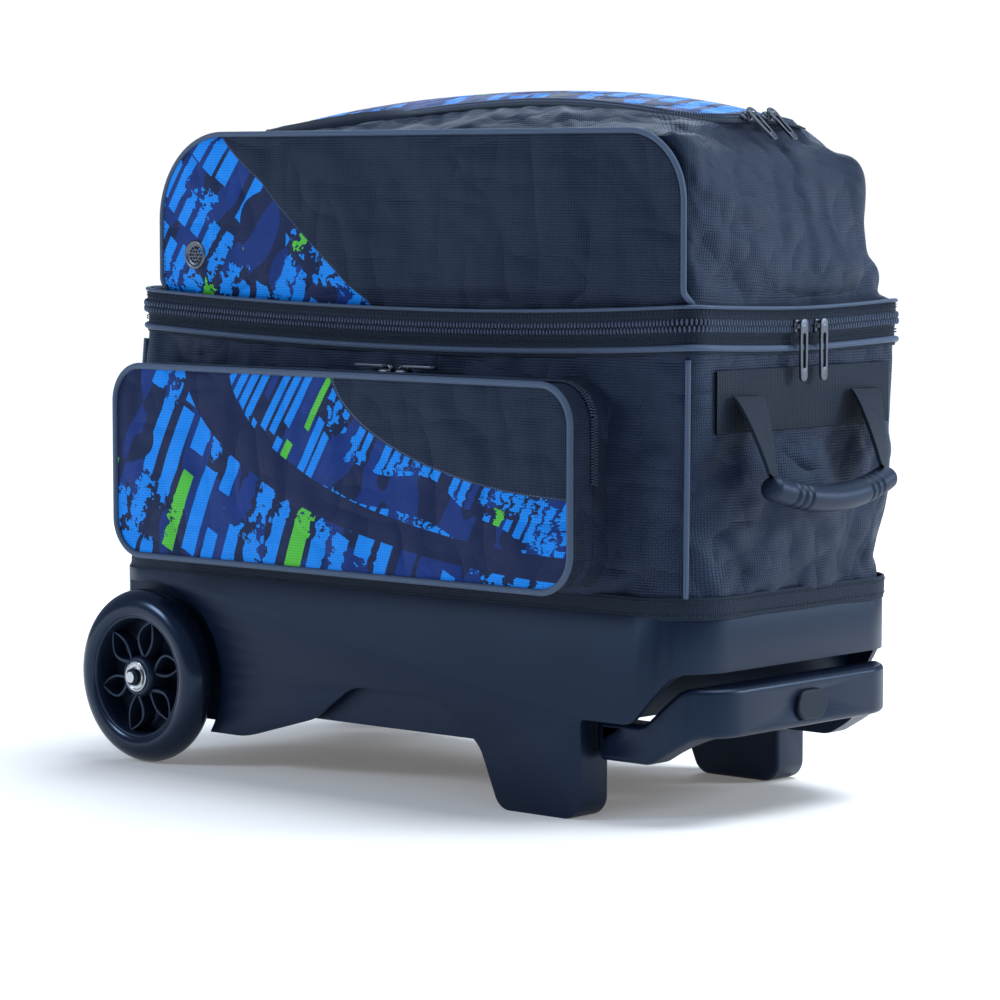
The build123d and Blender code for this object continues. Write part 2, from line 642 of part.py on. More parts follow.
def pocket_gusset():
    """Rear half of the pocket's side wall, sewn to the bag."""
    return pocket_box(0, POCKET_ZIP_Y, -BAG_HALF) - pocket_box(POCKET_SKIN, POCKET_ZIP_Y - 1, -BAG_HALF + 1)


def pocket_front_shell():
    """Front half of the pocket: its face and the front half of the side wall."""
    back = POCKET_ZIP_Y - POCKET_GAP
    return pocket_box(0, POCKET_FRONT, back) - pocket_box(POCKET_SKIN, POCKET_FRONT + POCKET_SKIN, back + 1)


def pocket_half(shape, upper):
    """The part of a pocket piece above or below the fold line."""
    low = POCKET_FOLD + POCKET_GAP if upper else 0
    high = BAG_TOP if upper else POCKET_FOLD - POCKET_GAP
    return shape & block(POCKET_LEFT - BEYOND, POCKET_RIGHT + BEYOND, POCKET_FRONT - BEYOND, 0, low, high)


def pocket_piping():
    """Piping round the edge of the pocket's face."""
    outline = front_outline(POCKET_LEFT, POCKET_RIGHT, POCKET_LOW, POCKET_TOP,
                            [POCKET_CORNER] * 4, POCKET_FRONT - PIPING_R)
    return round_cord(outline, PIPING_R)


# ---------------------------------------------------------------- end handles
def end_face(end, z):
    """X place of the bag's outer face at one end and height."""
    share = (z - RIM_TOP) / (BAG_TOP - RIM_TOP)
    left = BAG_LEFT_LOW + share * (BAG_LEFT_TOP - BAG_LEFT_LOW)
    return BAG_RIGHT if end > 0 else left


def handle_band(end):
    """Webbing band sewn across the bag's end, which the handle hangs from."""
    low = end_face(end, HANDLE_BAND_LOW)
    high = end_face(end, HANDLE_BAND_TOP)
    points = [(low, HANDLE_BAND_LOW), (low + end * HANDLE_BAND_T, HANDLE_BAND_LOW),
              (high + end * HANDLE_BAND_T, HANDLE_BAND_TOP), (high, HANDLE_BAND_TOP)]
    face = make_face(Polyline(*points, close=True))
    return Pos(0, HANDLE_BAND_HALF, 0) * extrude(Plane.XZ * face, 2 * HANDLE_BAND_HALF)


def handle_pivot_x(end):
    """X place of a handle's hinge line, just clear of its band."""
    return end_face(end, HANDLE_PIVOT_Z) + end * (HANDLE_BAND_T + HANDLE_CLEAR + HANDLE_STRAP_T / 2)


def handle_straps(end):
    """Two webbing tails from the band down to the rubber grip."""
    top_x = handle_pivot_x(end)
    low_x = top_x + end * HANDLE_OUT
    low_z = HANDLE_PIVOT_Z - HANDLE_DROP
    path = Line((top_x, 0, HANDLE_PIVOT_Z), (low_x, 0, low_z))
    section = Plane(origin=path @ 0, x_dir=(0, 1, 0), z_dir=path % 0)
    strap = sweep(section * Rectangle(HANDLE_STRAP_WIDTH, HANDLE_STRAP_T), path)
    return mirrored(Pos(0, HANDLE_STRAP_Y - HANDLE_STRAP_IN, 0) * strap)


def handle_grip(end):
    """Moulded rubber grip, bowed downwards between the two tails."""
    x = handle_pivot_x(end) + end * HANDLE_OUT
    z = HANDLE_PIVOT_Z - HANDLE_DROP - HANDLE_GRIP_R
    path = ThreePointArc((x, -HANDLE_STRAP_Y, z), (x + end * HANDLE_GRIP_OUT, 0, z - HANDLE_GRIP_BOW),
                         (x, HANDLE_STRAP_Y, z))
    section = Plane(origin=path @ 0, z_dir=path % 0) * Circle(HANDLE_GRIP_R)
    grip = sweep(section, path)
    cut = handle_straps(end)
    return grip - cut


# ---------------------------------------------------------------- zipper sliders and pulls
def slider_body():
    """Zipper slider about its own middle: travel along Y, face towards +X."""
    body = Box(SLIDER_T, SLIDER_LENGTH, SLIDER_HEIGHT)
    body = fillet(body.edges().filter_by(Axis.X), SLIDER_ROUND)
    return Pos(SLIDER_T / 2, 0, 0) * body


def pull_tab(length):
    """Narrow metal pull with a slot, hanging from the top of its eye."""
    plate = Pos(0, 0, -length / 2) * Box(PULL_T, PULL_WIDTH, length)
    plate = fillet(plate.edges().filter_by(Axis.X), PULL_ROUND)
    slot = Pos(0, 0, -length * 0.45) * Box(2 * PULL_T, SLOT_WIDTH, length * 0.5)
    return plate - fillet(slot.edges().filter_by(Axis.X), SLOT_ROUND)


PULL_X = SLIDER_T + SLIDER_CLEAR + PULL_T / 2


def slider_pair(place, spacing):
    """Two sliders at a place whose local Y is the zipper's direction."""
    return [place * Pos(0, side * spacing / 2, 0) * slider_body() for side in (-1, 1)]


def pull_pair(place, spacing, length):
    """Two pulls that hang beside their sliders."""
    return [place * Pos(PULL_X, side * spacing / 2, SLIDER_HEIGHT / 2 - PULL_EYE) * pull_tab(length)
            for side in (-1, 1)]


def flat_pull_pair(place, spacing, length):
    """Two pulls that lie along the zipper, pointing away from each other."""
    return [place * Pos(PULL_X, side * spacing / 2, 0) * Rot(side * 90, 0, 0) * pull_tab(length)
            for side in (-1, 1)]


def top_slope_place():
    """Place on the upper bag's end slope, local X square to the fabric."""
    rise = UPPER_CROWN - SLOPE_TOP - UPPER_SHOULDER + SLOPE_FOOT
    x = UPPER_RIGHT - SLOPE_RUN * (1 - SLOPE_SHARE)
    z = UPPER_CROWN - SLOPE_TOP - rise * SLOPE_SHARE
    tilt = degrees(atan2(SLOPE_RUN, rise))
    return Pos(x, 0, z) * Rot(0, -tilt, 0) * Pos(SLIDER_CLEAR, 0, 0)


# ---------------------------------------------------------------- inside
def floor_pad():
    """Thin foam sheet over the tub's floor."""
    half = WELL_FACE - WELL_WALL - PAD_CLEAR
    return prism(BASE_LEFT + BASE_CORNER, RECESS_X - BASE_WALL - 2 * PAD_CLEAR, -half, half,
                 PAD_CORNER, FLOOR_TOP, FLOOR_TOP + PAD_T)


def ball_cradle(x):
    """Foam ring that keeps one ball in place."""
    low = FLOOR_TOP + PAD_T
    ring = Cylinder(CRADLE_R, CRADLE_HEIGHT) - Cylinder(CRADLE_HOLE_R, 2 * CRADLE_HEIGHT)
    return Pos(x, 0, low + CRADLE_HEIGHT / 2) * ring


def ball_divider():
    """Padded panel that stands between the two balls."""
    x = (BALL_X[0] + BALL_X[1]) / 2
    low = FLOOR_TOP + PAD_T
    return block(x - DIVIDER_T / 2, x + DIVIDER_T / 2, -DIVIDER_HALF, DIVIDER_HALF, low, DIVIDER_TOP)


# ---------------------------------------------------------------- all nodes
nodes["base_shell"] = base_shell()
nodes["wheel_axle"] = axle()
nodes["axle_spacers"] = axle_collars(WELL_FACE, WHEEL_Y - BEARING_WIDTH / 2 - STAGE_GAP)
nodes["axle_nuts"] = axle_collars(WHEEL_Y + BEARING_WIDTH / 2 + STAGE_GAP, AXLE_END - NUT_END)
for name, side in (("front", -1), ("back", 1)):
    nodes[f"tyre_{name}"] = wheel_at(tyre(), side)
    nodes[f"hub_{name}"] = wheel_at(hub(), side)
    nodes[f"bearing_{name}"] = wheel_at(bearing(), side)

nodes["outer_tubes"] = square_tubes(OUTER_TUBE, TUBE_LEFT, FOOT_RIGHT)
nodes["outer_collars"] = tube_collars(OUTER_TUBE + 2 * COLLAR_LIP, MID_TUBE + 2 * STAGE_GAP, COLLAR_X)
nodes["mid_tubes"] = square_tubes(MID_TUBE, TUBE_LEFT + STAGE_STEP, MID_COLLAR_X)
nodes["mid_collars"] = tube_collars(MID_TUBE + 2 * COLLAR_LIP, INNER_TUBE + 2 * STAGE_GAP, MID_COLLAR_X)
nodes["inner_tubes"] = square_tubes(INNER_TUBE, TUBE_LEFT + 2 * STAGE_STEP, GRIP_ARM_LEFT + TUBE_SOCKET)
nodes["tow_grip"] = tow_grip()
nodes["tow_button"] = tow_button()

nodes["lower_bag"] = lower_bag()
nodes["bottom_binding"] = bottom_binding()
nodes["corner_piping"] = corner_piping()
nodes["main_zip_lower"] = main_zip_lower()
nodes["floor_pad"] = floor_pad()
nodes["ball_cradle_left"] = ball_cradle(BALL_X[0])
nodes["ball_cradle_right"] = ball_cradle(BALL_X[1])
nodes["ball_divider"] = ball_divider()

upper_shell = upper_form(0) - upper_form(UPPER_WALL)
nodes["upper_bag"] = upper_shell - flap_prism(FLAP_SLOT)
nodes["top_flap"] = upper_shell & flap_prism(0)
nodes["divider_board"] = divider_board()
nodes["main_zip_upper"] = main_zip_upper()
nodes["lid_shoulder"] = lid_shoulder()
nodes["upper_front_panel"] = upper_front_panel()
nodes["upper_piping"] = round_cord(panel_outline(0, UPPER_FRONT - PIPING_R), PIPING_R)
nodes["vent_eyelet"] = vent_eyelet()

nodes["pocket_gusset"] = pocket_gusset()
nodes["pocket_lower"] = pocket_half(pocket_front_shell(), False)
nodes["pocket_flap"] = pocket_half(pocket_front_shell(), True)
nodes["pocket_piping_lower"] = pocket_half(pocket_piping(), False)
nodes["pocket_piping_upper"] = pocket_half(pocket_piping(), True)

for name, end in (("right", 1), ("left", -1)):
    nodes[f"handle_band_{name}"] = handle_band(end)
    nodes[f"handle_straps_{name}"] = handle_straps(end)
    nodes[f"handle_grip_{name}"] = handle_grip(end)

main_place = Pos(BAG_RIGHT + BAND_PROUD + SLIDER_CLEAR, 0, ZIP_Z)
nodes["main_slider_a"], nodes["main_slider_b"] = slider_pair(main_place, SLIDER_SPACING)
nodes["main_pull_a"], nodes["main_pull_b"] = pull_pair(main_place, SLIDER_SPACING, MAIN_PULL)
top_place = top_slope_place()
nodes["top_slider_a"], nodes["top_slider_b"] = slider_pair(top_place, SLIDER_SPACING)
nodes["top_pull_a"], nodes["top_pull_b"] = pull_pair(top_place, SLIDER_SPACING, SMALL_PULL)
pocket_place = Pos(POCKET_SLIDER_X, POCKET_ZIP_Y + SLIDER_CLEAR + SLIDER_HEIGHT / 2,
                   POCKET_TOP + SLIDER_CLEAR) * Rot(0, -90, 0) * Rot(-90, 0, 0)
nodes["pocket_slider_a"], nodes["pocket_slider_b"] = slider_pair(pocket_place, POCKET_SLIDER_SPACING)
nodes["pocket_pull_a"], nodes["pocket_pull_b"] = flat_pull_pair(
    pocket_place, POCKET_SLIDER_SPACING, SMALL_PULL)

boxes = [shape.bounding_box() for shape in nodes.values()]
middle_x = (min(box.min.X for box in boxes) + max(box.max.X for box in boxes)) / 2
middle_y = (min(box.min.Y for box in boxes) + max(box.max.Y for box in boxes)) / 2
ground = min(box.min.Z for box in boxes)
os.makedirs("parts", exist_ok=True)
for name, shape in nodes.items():
    export_step(Pos(-middle_x, -middle_y, -ground) * shape, f"parts/{name}.step")
print("origin moved to", round(middle_x, 4), round(middle_y, 4), round(ground, 4))
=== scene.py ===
from math import atan2, cos, floor, pi, radians, sin

import bmesh
import bpy
import numpy as np
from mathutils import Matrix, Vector


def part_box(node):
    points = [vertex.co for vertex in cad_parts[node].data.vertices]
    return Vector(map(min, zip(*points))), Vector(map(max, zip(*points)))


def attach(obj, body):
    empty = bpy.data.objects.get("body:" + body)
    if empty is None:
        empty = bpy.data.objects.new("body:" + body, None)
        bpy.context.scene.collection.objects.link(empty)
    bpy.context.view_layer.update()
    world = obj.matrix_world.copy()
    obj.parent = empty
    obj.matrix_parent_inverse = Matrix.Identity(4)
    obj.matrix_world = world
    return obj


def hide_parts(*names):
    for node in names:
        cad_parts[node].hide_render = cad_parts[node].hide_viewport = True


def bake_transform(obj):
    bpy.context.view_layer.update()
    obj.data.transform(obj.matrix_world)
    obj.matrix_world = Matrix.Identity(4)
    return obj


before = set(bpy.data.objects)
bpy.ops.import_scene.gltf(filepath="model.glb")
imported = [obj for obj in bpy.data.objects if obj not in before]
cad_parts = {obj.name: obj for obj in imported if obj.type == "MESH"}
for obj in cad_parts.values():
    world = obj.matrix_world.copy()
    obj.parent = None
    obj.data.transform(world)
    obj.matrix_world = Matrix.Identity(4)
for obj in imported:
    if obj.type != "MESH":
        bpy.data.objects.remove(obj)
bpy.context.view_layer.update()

bl_info = {
    "name": "Two-ball roller bag",
    "version": (1, 0, 0),
    "blender": (4, 5, 0),
    "location": "View3D > Sidebar > Roller bag",
    "description": "Builds the fabric, zippers, wheels and finishes of a two-ball roller bag round its frame",
    "category": "Add Mesh",
}

# Sizes below are millimetres about the middle of the moulded base, as a bag maker would draw them;
# put() turns them into metres in the frame.
BASE_LOW, BASE_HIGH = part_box("base_shell")
LEFT_OF_MIDDLE = 280.0
OFFSET = np.array([BASE_LOW[0] + LEFT_OF_MIDDLE / 1000, (BASE_LOW[1] + BASE_HIGH[1]) / 2, BASE_LOW[2]])


def put(points):
    """Design millimetres to frame metres: a scale of a thousandth and one shift."""
    return np.asarray(points, float) / 1000 + OFFSET


def node_box(node):
    """A CAD node's box in design millimetres, as (low, high)."""
    low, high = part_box(node)
    return (np.array(low) - OFFSET) * 1000, (np.array(high) - OFFSET) * 1000


# ------------------------------------------------------------------ mesh tools
def linked(name, data):
    """Object linked to the scene."""
    thing = bpy.data.objects.new(name, data)
    bpy.context.scene.collection.objects.link(thing)
    return thing


def piece(name, mesh):
    """Visible piece from a finished mesh, shaded smooth."""
    mesh.polygons.foreach_set("use_smooth", [True] * len(mesh.polygons))
    return linked(name, mesh)


def new_object(name, points, faces, uv, material, closed):
    """Mesh from millimetre points and quads; doubles are merged and faces turned outwards."""
    mesh = bpy.data.meshes.new(name)
    mesh.from_pydata(put(points).tolist(), [], np.asarray(faces).tolist())
    layer = mesh.uv_layers.new(name="UVMap")
    layer.data.foreach_set("uv", np.asarray(uv, float).reshape(-1))
    work = bmesh.new()
    work.from_mesh(mesh)
    bmesh.ops.remove_doubles(work, verts=work.verts, dist=1e-6)
    bmesh.ops.dissolve_degenerate(work, edges=work.edges, dist=1e-7)
    if closed:
        bmesh.ops.recalc_face_normals(work, faces=work.faces)
    work.to_mesh(mesh)
    work.free()
    mesh.materials.append(material)
    return piece(name, mesh)


def grid_faces(rows, columns, wrap_rows, wrap_columns):
    """Quads of a grid of points, as index rows; a wrapped side joins its last line to its first."""
    i = np.arange(rows if wrap_rows else rows - 1)[:, None]
    j = np.arange(columns if wrap_columns else columns - 1)[None, :]
    i2 = (i + 1) % rows
    j2 = (j + 1) % columns
    quads = np.stack([i * columns + j, i * columns + j2, i2 * columns + j2, i2 * columns + j], -1)
    return quads.reshape(-1, 4)


def grid_uv(points, wrap_rows, wrap_columns):
    """Loop coordinates in metres: distance along the middle row and down the mean column."""
    rows, columns = points.shape[:2]
    middle = points[rows // 2]
    step_u = np.linalg.norm(np.roll(middle, -1, 0) - middle, axis=1)
    step_v = np.linalg.norm(np.roll(points, -1, 0) - points, axis=2).mean(1)
    u = np.concatenate([[0], np.cumsum(step_u)]) / 1000
    v = np.concatenate([[0], np.cumsum(step_v)]) / 1000
    i = np.arange(rows if wrap_rows else rows - 1)[:, None]
    j = np.arange(columns if wrap_columns else columns - 1)[None, :]
    corner_u = np.stack([u[j], u[j + 1], u[j + 1], u[j]], -1) + 0 * i[..., None]
    corner_v = np.stack([v[i], v[i], v[i + 1], v[i + 1]], -1) + 0 * j[..., None]
    return np.stack([corner_u, corner_v], -1)


def surface(name, points, wrap_rows, wrap_columns, material, uv=None, closed=True):
    """Object from a grid of points (rows, columns, 3), with its own map in metres."""
    rows, columns = points.shape[:2]
    faces = grid_faces(rows, columns, wrap_rows, wrap_columns)
    loops = grid_uv(points, wrap_rows, wrap_columns)
    if uv is not None:
        loops = (np.asarray(uv).reshape(-1, 2) / 1000)[faces]
    return new_object(name, points.reshape(-1, 3), faces, loops, material, closed)


def fill_in(loop, box, rows):
    """Grid from an outline in to the middle line of its box, and each row's share of the way in."""
    low, high = box[2:4]
    reach = (high - low) / 2
    centre = np.stack([np.clip(loop[:, 0], box[0] + reach, box[1] - reach),
                       np.full(len(loop), (low + high) / 2)], 1)
    share = np.linspace(0, 1, rows)[:, None, None]
    flat = loop * (1 - share) + centre * share
    return flat[..., 0], flat[..., 1], share[..., 0]


def unit(vectors):
    """Vectors divided by their lengths."""
    return vectors / np.maximum(np.linalg.norm(vectors, axis=-1, keepdims=True), 1e-9)


def outline(x0, x1, y0, y1, corners, sides=(60, 30), arc=12):
    """Rounded rectangle as an open list of points that wraps, anticlockwise from the front left.

    Straight sides are linear steps, and each corner is a quarter circle of its own radius;
    corners are front left, front right, back right, back left. Also gives outward normals."""
    radius = np.broadcast_to(np.asarray(corners, float), (4,))
    centre = [(x0 + radius[0], y0 + radius[0]), (x1 - radius[1], y0 + radius[1]),
              (x1 - radius[2], y1 - radius[2]), (x0 + radius[3], y1 - radius[3])]
    points, normals = [], []
    for k in range(4):
        angle = pi + k * pi / 2 + np.linspace(0, pi / 2, arc)
        normal = np.stack([np.cos(angle), np.sin(angle)], -1)
        curve = np.array(centre[k]) + radius[k] * normal
        after = (k + 1) % 4
        end_angle = pi + after * pi / 2
        end = np.array(centre[after]) + radius[after] * np.array([cos(end_angle), sin(end_angle)])
        share = np.linspace(0, 1, sides[k % 2] + 2)[1:-1, None]
        straight = curve[-1] + (end - curve[-1]) * share
        points += [curve, straight]
        normals += [normal, np.repeat(normal[-1:], len(straight), 0)]
    return np.concatenate(points), np.concatenate(normals)


def level(loop, z):
    """Ring of a plan outline at a height, which may differ from point to point."""
    return np.concatenate([loop, np.broadcast_to(z, (len(loop),))[:, None]], 1)


def upright(loop, y):
    """Ring of an outline drawn in X and Z, at a depth Y."""
    return np.stack([loop[:, 0], np.broadcast_to(y, (len(loop),)), loop[:, 1]], 1)


def rounded_rows(rings, cuts, line=6, arc=6):
    """Grid through a list of rings whose inner corners are rounded.

    Between neighbours the rows are linear steps; at each inner ring the corner is a quadratic
    curve that starts and ends a cut's length away from it. line may differ for each run."""
    rings = [np.asarray(ring, float) for ring in rings]
    counts = line if isinstance(line, (list, tuple)) else [line] * (len(rings) - 1)
    cuts = [0] + list(cuts) + [0]
    rows = []
    for k in range(len(rings) - 1):
        run = rings[k + 1] - rings[k]
        length = np.linalg.norm(run, axis=1, keepdims=True)
        way = run / np.maximum(length, 1e-9)
        start = rings[k] + way * np.minimum(cuts[k], length * 0.49)
        end = rings[k + 1] - way * np.minimum(cuts[k + 1], length * 0.49)
        if k:
            share = np.linspace(0, 1, arc + 2)[1:-1, None, None]
            corner = rings[k]
            rows += list((1 - share) ** 2 * last_end + 2 * share * (1 - share) * corner + share ** 2 * start)
        share = np.linspace(0, 1, counts[k])[:, None, None]
        rows += list(start + (end - start) * share)
        last_end = end
    return np.array(rows)


def closed_rows(rings, cut, line=3, arc=4):
    """Grid round a closed list of rings, each corner rounded by the same cut."""
    ring_list = [np.asarray(ring, float) for ring in rings]
    first = (ring_list[0] + ring_list[-1]) / 2
    return rounded_rows([first] + ring_list + [first], [cut] * len(ring_list), line, arc)[:-1]


def hash_noise(cell, seed):
    """Repeatable number from -1 to 1 for each whole-number cell: the fraction of a large sine."""
    mixed = np.sin(cell @ np.array([127.1, 311.7, 74.7]) + seed * 19.19) * 43758.5453
    return 2 * (mixed - np.floor(mixed)) - 1


def noise(points, size, seed=0):
    """Smooth value noise: cell corner numbers blended by a cubic ease along each axis."""
    q = np.asarray(points, float) / np.asarray(size, float)
    base = np.floor(q)
    f = q - base
    f = f * f * (3 - 2 * f)
    total = 0
    for corner in np.ndindex(2, 2, 2):
        c = np.array(corner)
        weight = np.prod(np.where(c, f, 1 - f), axis=-1)
        total = total + weight * hash_noise(base + c, seed)
    return total


def folds(points, size, seed=0):
    """Soft creases: one minus the size of noise, raised so that the ridges stay narrow."""
    return (1 - np.abs(noise(points, size, seed))) ** 3


def drape(points, lean, size, seed):
    """Slanting creases: the run round a corner is X plus Y, turned against the height."""
    run = points[..., 0] + points[..., 1]
    a = run * cos(lean) + points[..., 2] * sin(lean)
    b = points[..., 2] * cos(lean) - run * sin(lean)
    return folds(np.stack([a, b, b * 0], -1), size, seed)


def soft_box(value, low, high, fade):
    """One between two values, falling smoothly to nothing over a fade on either side."""
    share = np.clip(1 - np.maximum(low - value, value - high) / fade, 0, 1)
    return share * share * (3 - 2 * share)


def grid_normals(points):
    """Unit normals of a grid that wraps, from the cross product of its row and column differences."""
    along = np.roll(points, -1, 1) - np.roll(points, 1, 1)
    return unit(np.cross(along, np.gradient(points, axis=0)))


def sweep(path, side, rise, radius, sides, flat):
    """Rings carried along a path: a circle whose second half-width is a share of the first."""
    angle = np.linspace(0, 2 * pi, sides, endpoint=False)
    cosine, sine = np.cos(angle)[None, :, None], np.sin(angle)[None, :, None]
    circle = side[:, None] * cosine + rise[:, None] * flat * sine
    return path[:, None] + circle * np.broadcast_to(radius, (len(path),))[:, None, None]


def capped(path, rings):
    """The same rings closed by a point at both ends."""
    sides = rings.shape[1]
    return np.concatenate([np.repeat(path[:1, None], sides, 1), rings, np.repeat(path[-1:, None], sides, 1)])


def tube(name, path, radius, material, closed=True, sides=10, flat=1.0, up=(0, 0, 1)):
    """Round or flattened cord: a circle carried along a path, square to it."""
    path = np.asarray(path, float)
    if closed:
        tangent = unit(np.roll(path, -1, 0) - np.roll(path, 1, 0))
    else:
        tangent = unit(np.gradient(path, axis=0))
    side = unit(np.cross(tangent, np.broadcast_to(up, tangent.shape)))
    points = sweep(path, side, np.cross(side, tangent), radius, sides, flat)
    if not closed:
        points = capped(path, points)
    return surface(name, points, wrap_rows=closed, wrap_columns=True, material=material)


def scatter(name, shape, faces, origins, axes, material):
    """Many copies of a small shape in one mesh; axes are three arrays of directions."""
    shape = np.asarray(shape, float)
    points = (origins[:, None] + shape[None, :, :1] * axes[0][:, None]
              + shape[None, :, 1:2] * axes[1][:, None] + shape[None, :, 2:] * axes[2][:, None])
    faces = np.asarray(faces)
    count = len(shape)
    all_faces = (faces[None] + (np.arange(len(origins)) * count)[:, None, None]).reshape(-1, faces.shape[1])
    mesh = bpy.data.meshes.new(name)
    mesh.from_pydata(put(points.reshape(-1, 3)).tolist(), [], all_faces.tolist())
    mesh.materials.append(material)
    return piece(name, mesh)


def bead(long, wide, high, around=6, rows=4, power=0.6):
    """Small rounded bar along X: ellipse rings whose size eases to nothing at both ends."""
    share = np.linspace(-1, 1, rows + 2)
    size = np.clip(1 - np.abs(share) ** 3, 0, 1) ** power
    angle = np.linspace(0, 2 * pi, around, endpoint=False)
    x = np.repeat(share * long / 2, around)
    y = np.outer(size, np.cos(angle)).ravel() * wide / 2
    z = np.outer(size, np.sin(angle)).ravel() * high / 2
    return np.stack([x, y, z], 1), grid_faces(rows + 2, around, False, True)


def resample(path, normals, spacing, closed):
    """Points evenly spaced along a path, with unit tangents and the path's own outward normals."""
    if closed:
        path = np.concatenate([path, path[:1]])
        normals = np.concatenate([normals, normals[:1]])
    run = np.concatenate([[0], np.cumsum(np.linalg.norm(np.diff(path, axis=0), axis=1))])
    at = np.linspace(0, run[-1], max(2, int(run[-1] / spacing)), endpoint=not closed)

    def read(places, values):
        if closed:
            places = places % run[-1]
        return np.stack([np.interp(places, run, values[:, k]) for k in range(3)], 1)

    along = unit(read(at + 0.5, path) - read(at - 0.5, path))
    return read(at, path), along, unit(read(at, normals))


def weld_copy(name, node, material, width):
    """Copy of a CAD node as one joined mesh with softened edges; the node itself is left alone."""
    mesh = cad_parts[node].data.copy()
    mesh.materials.clear()
    mesh.materials.append(material)
    work = bmesh.new()
    work.from_mesh(mesh)
    bmesh.ops.remove_doubles(work, verts=work.verts, dist=1e-5)
    bmesh.ops.dissolve_limit(work, angle_limit=radians(1.0), verts=work.verts, edges=work.edges)
    work.to_mesh(mesh)
    work.free()
    thing = piece(name, mesh)
    bevel = thing.modifiers.new("Soft edges", "BEVEL")
    bevel.width = width / 1000
    bevel.segments = 2
    bevel.limit_method = "ANGLE"
    bevel.angle_limit = radians(30)
    bevel.harden_normals = True
    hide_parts(node)
    return thing


def thicken(thing, thickness, offset=-1.0, lining=None):
    """Solidify modifier in millimetres, with a lining on the inner side if one is given."""
    wall = thing.modifiers.new("Thickness", "SOLIDIFY")
    wall.thickness = thickness / 1000
    wall.offset = offset
    wall.use_even_offset = False
    if lining:
        thing.data.materials.append(lining)
        wall.material_offset = 1
        wall.material_offset_rim = 0


def smooth_more(thing):
    """One level of subdivision, in the view and the render alike."""
    more = thing.modifiers.new("Subdivision", "SUBSURF")
    more.levels = more.render_levels = 1


CLOTH_FRAMES = 16
CLOTH_GROWTH = 0.05


def settle(thing, pinned, cap, pressure):
    """Cloth on the piece's own grid: it grows a little, so it buckles between its sewn rows.

    pinned marks the points that seams hold. The run is 16 frames with little gravity; then each
    point keeps at most a cap's length of its move, in millimetres, and the modifier goes."""
    mesh = thing.data
    held = thing.vertex_groups.new(name="Sewn")
    held.add(np.flatnonzero(pinned).tolist(), 1.0, "REPLACE")
    cloth = thing.modifiers.new("Cloth", "CLOTH")
    fabric = cloth.settings
    fabric.quality = 6
    fabric.mass = 0.25
    fabric.tension_stiffness = 40
    fabric.compression_stiffness = 40
    fabric.shear_stiffness = 12
    fabric.bending_stiffness = 0.35
    fabric.vertex_group_mass = "Sewn"
    fabric.shrink_min = -CLOTH_GROWTH
    fabric.use_pressure = True
    fabric.uniform_pressure_force = pressure
    fabric.effector_weights.gravity = 0.25
    cloth.collision_settings.use_collision = False
    scene = bpy.context.scene
    for step in range(1, CLOTH_FRAMES + 1):
        scene.frame_set(step)
    fine = thing.evaluated_get(bpy.context.evaluated_depsgraph_get()).data
    before = np.empty(len(mesh.vertices) * 3)
    after = np.empty(len(fine.vertices) * 3)
    mesh.vertices.foreach_get("co", before)
    fine.vertices.foreach_get("co", after)
    move = (after - before).reshape(-1, 3)
    size = np.linalg.norm(move, axis=1, keepdims=True)
    limit = cap / 1000
    move *= limit * np.tanh(size / limit) / np.maximum(size, 1e-9)
    mesh.vertices.foreach_set("co", (before.reshape(-1, 3) + move).ravel())
    thing.modifiers.remove(cloth)
    thing.vertex_groups.remove(held)
    scene.frame_set(1)
    mesh.update()


# ------------------------------------------------------------------ material tools
class Wire:
    """A node's output; sums, products and the like of wires add the Math nodes that work them out."""

    def __init__(self, nodes, socket):
        self.nodes = nodes
        self.socket = socket

    def __add__(self, other):
        return self.nodes.math("ADD", self, other)

    def __sub__(self, other):
        return self.nodes.math("SUBTRACT", self, other)

    def __rsub__(self, other):
        return self.nodes.math("SUBTRACT", other, self)

    def __mul__(self, other):
        return self.nodes.math("MULTIPLY", self, other)

    def __truediv__(self, other):
        return self.nodes.math("DIVIDE", self, other)

    def __rtruediv__(self, other):
        return self.nodes.math("DIVIDE", other, self)

    def __pow__(self, other):
        return self.nodes.math("POWER", self, other)

    def __gt__(self, other):
        return self.nodes.math("GREATER_THAN", self, other)

    def __lt__(self, other):
        return self.nodes.math("LESS_THAN", self, other)

    def __abs__(self):
        return self.nodes.math("ABSOLUTE", self)

    def __floor__(self):
        return self.nodes.math("FLOOR", self)

    __radd__, __rmul__ = __add__, __mul__


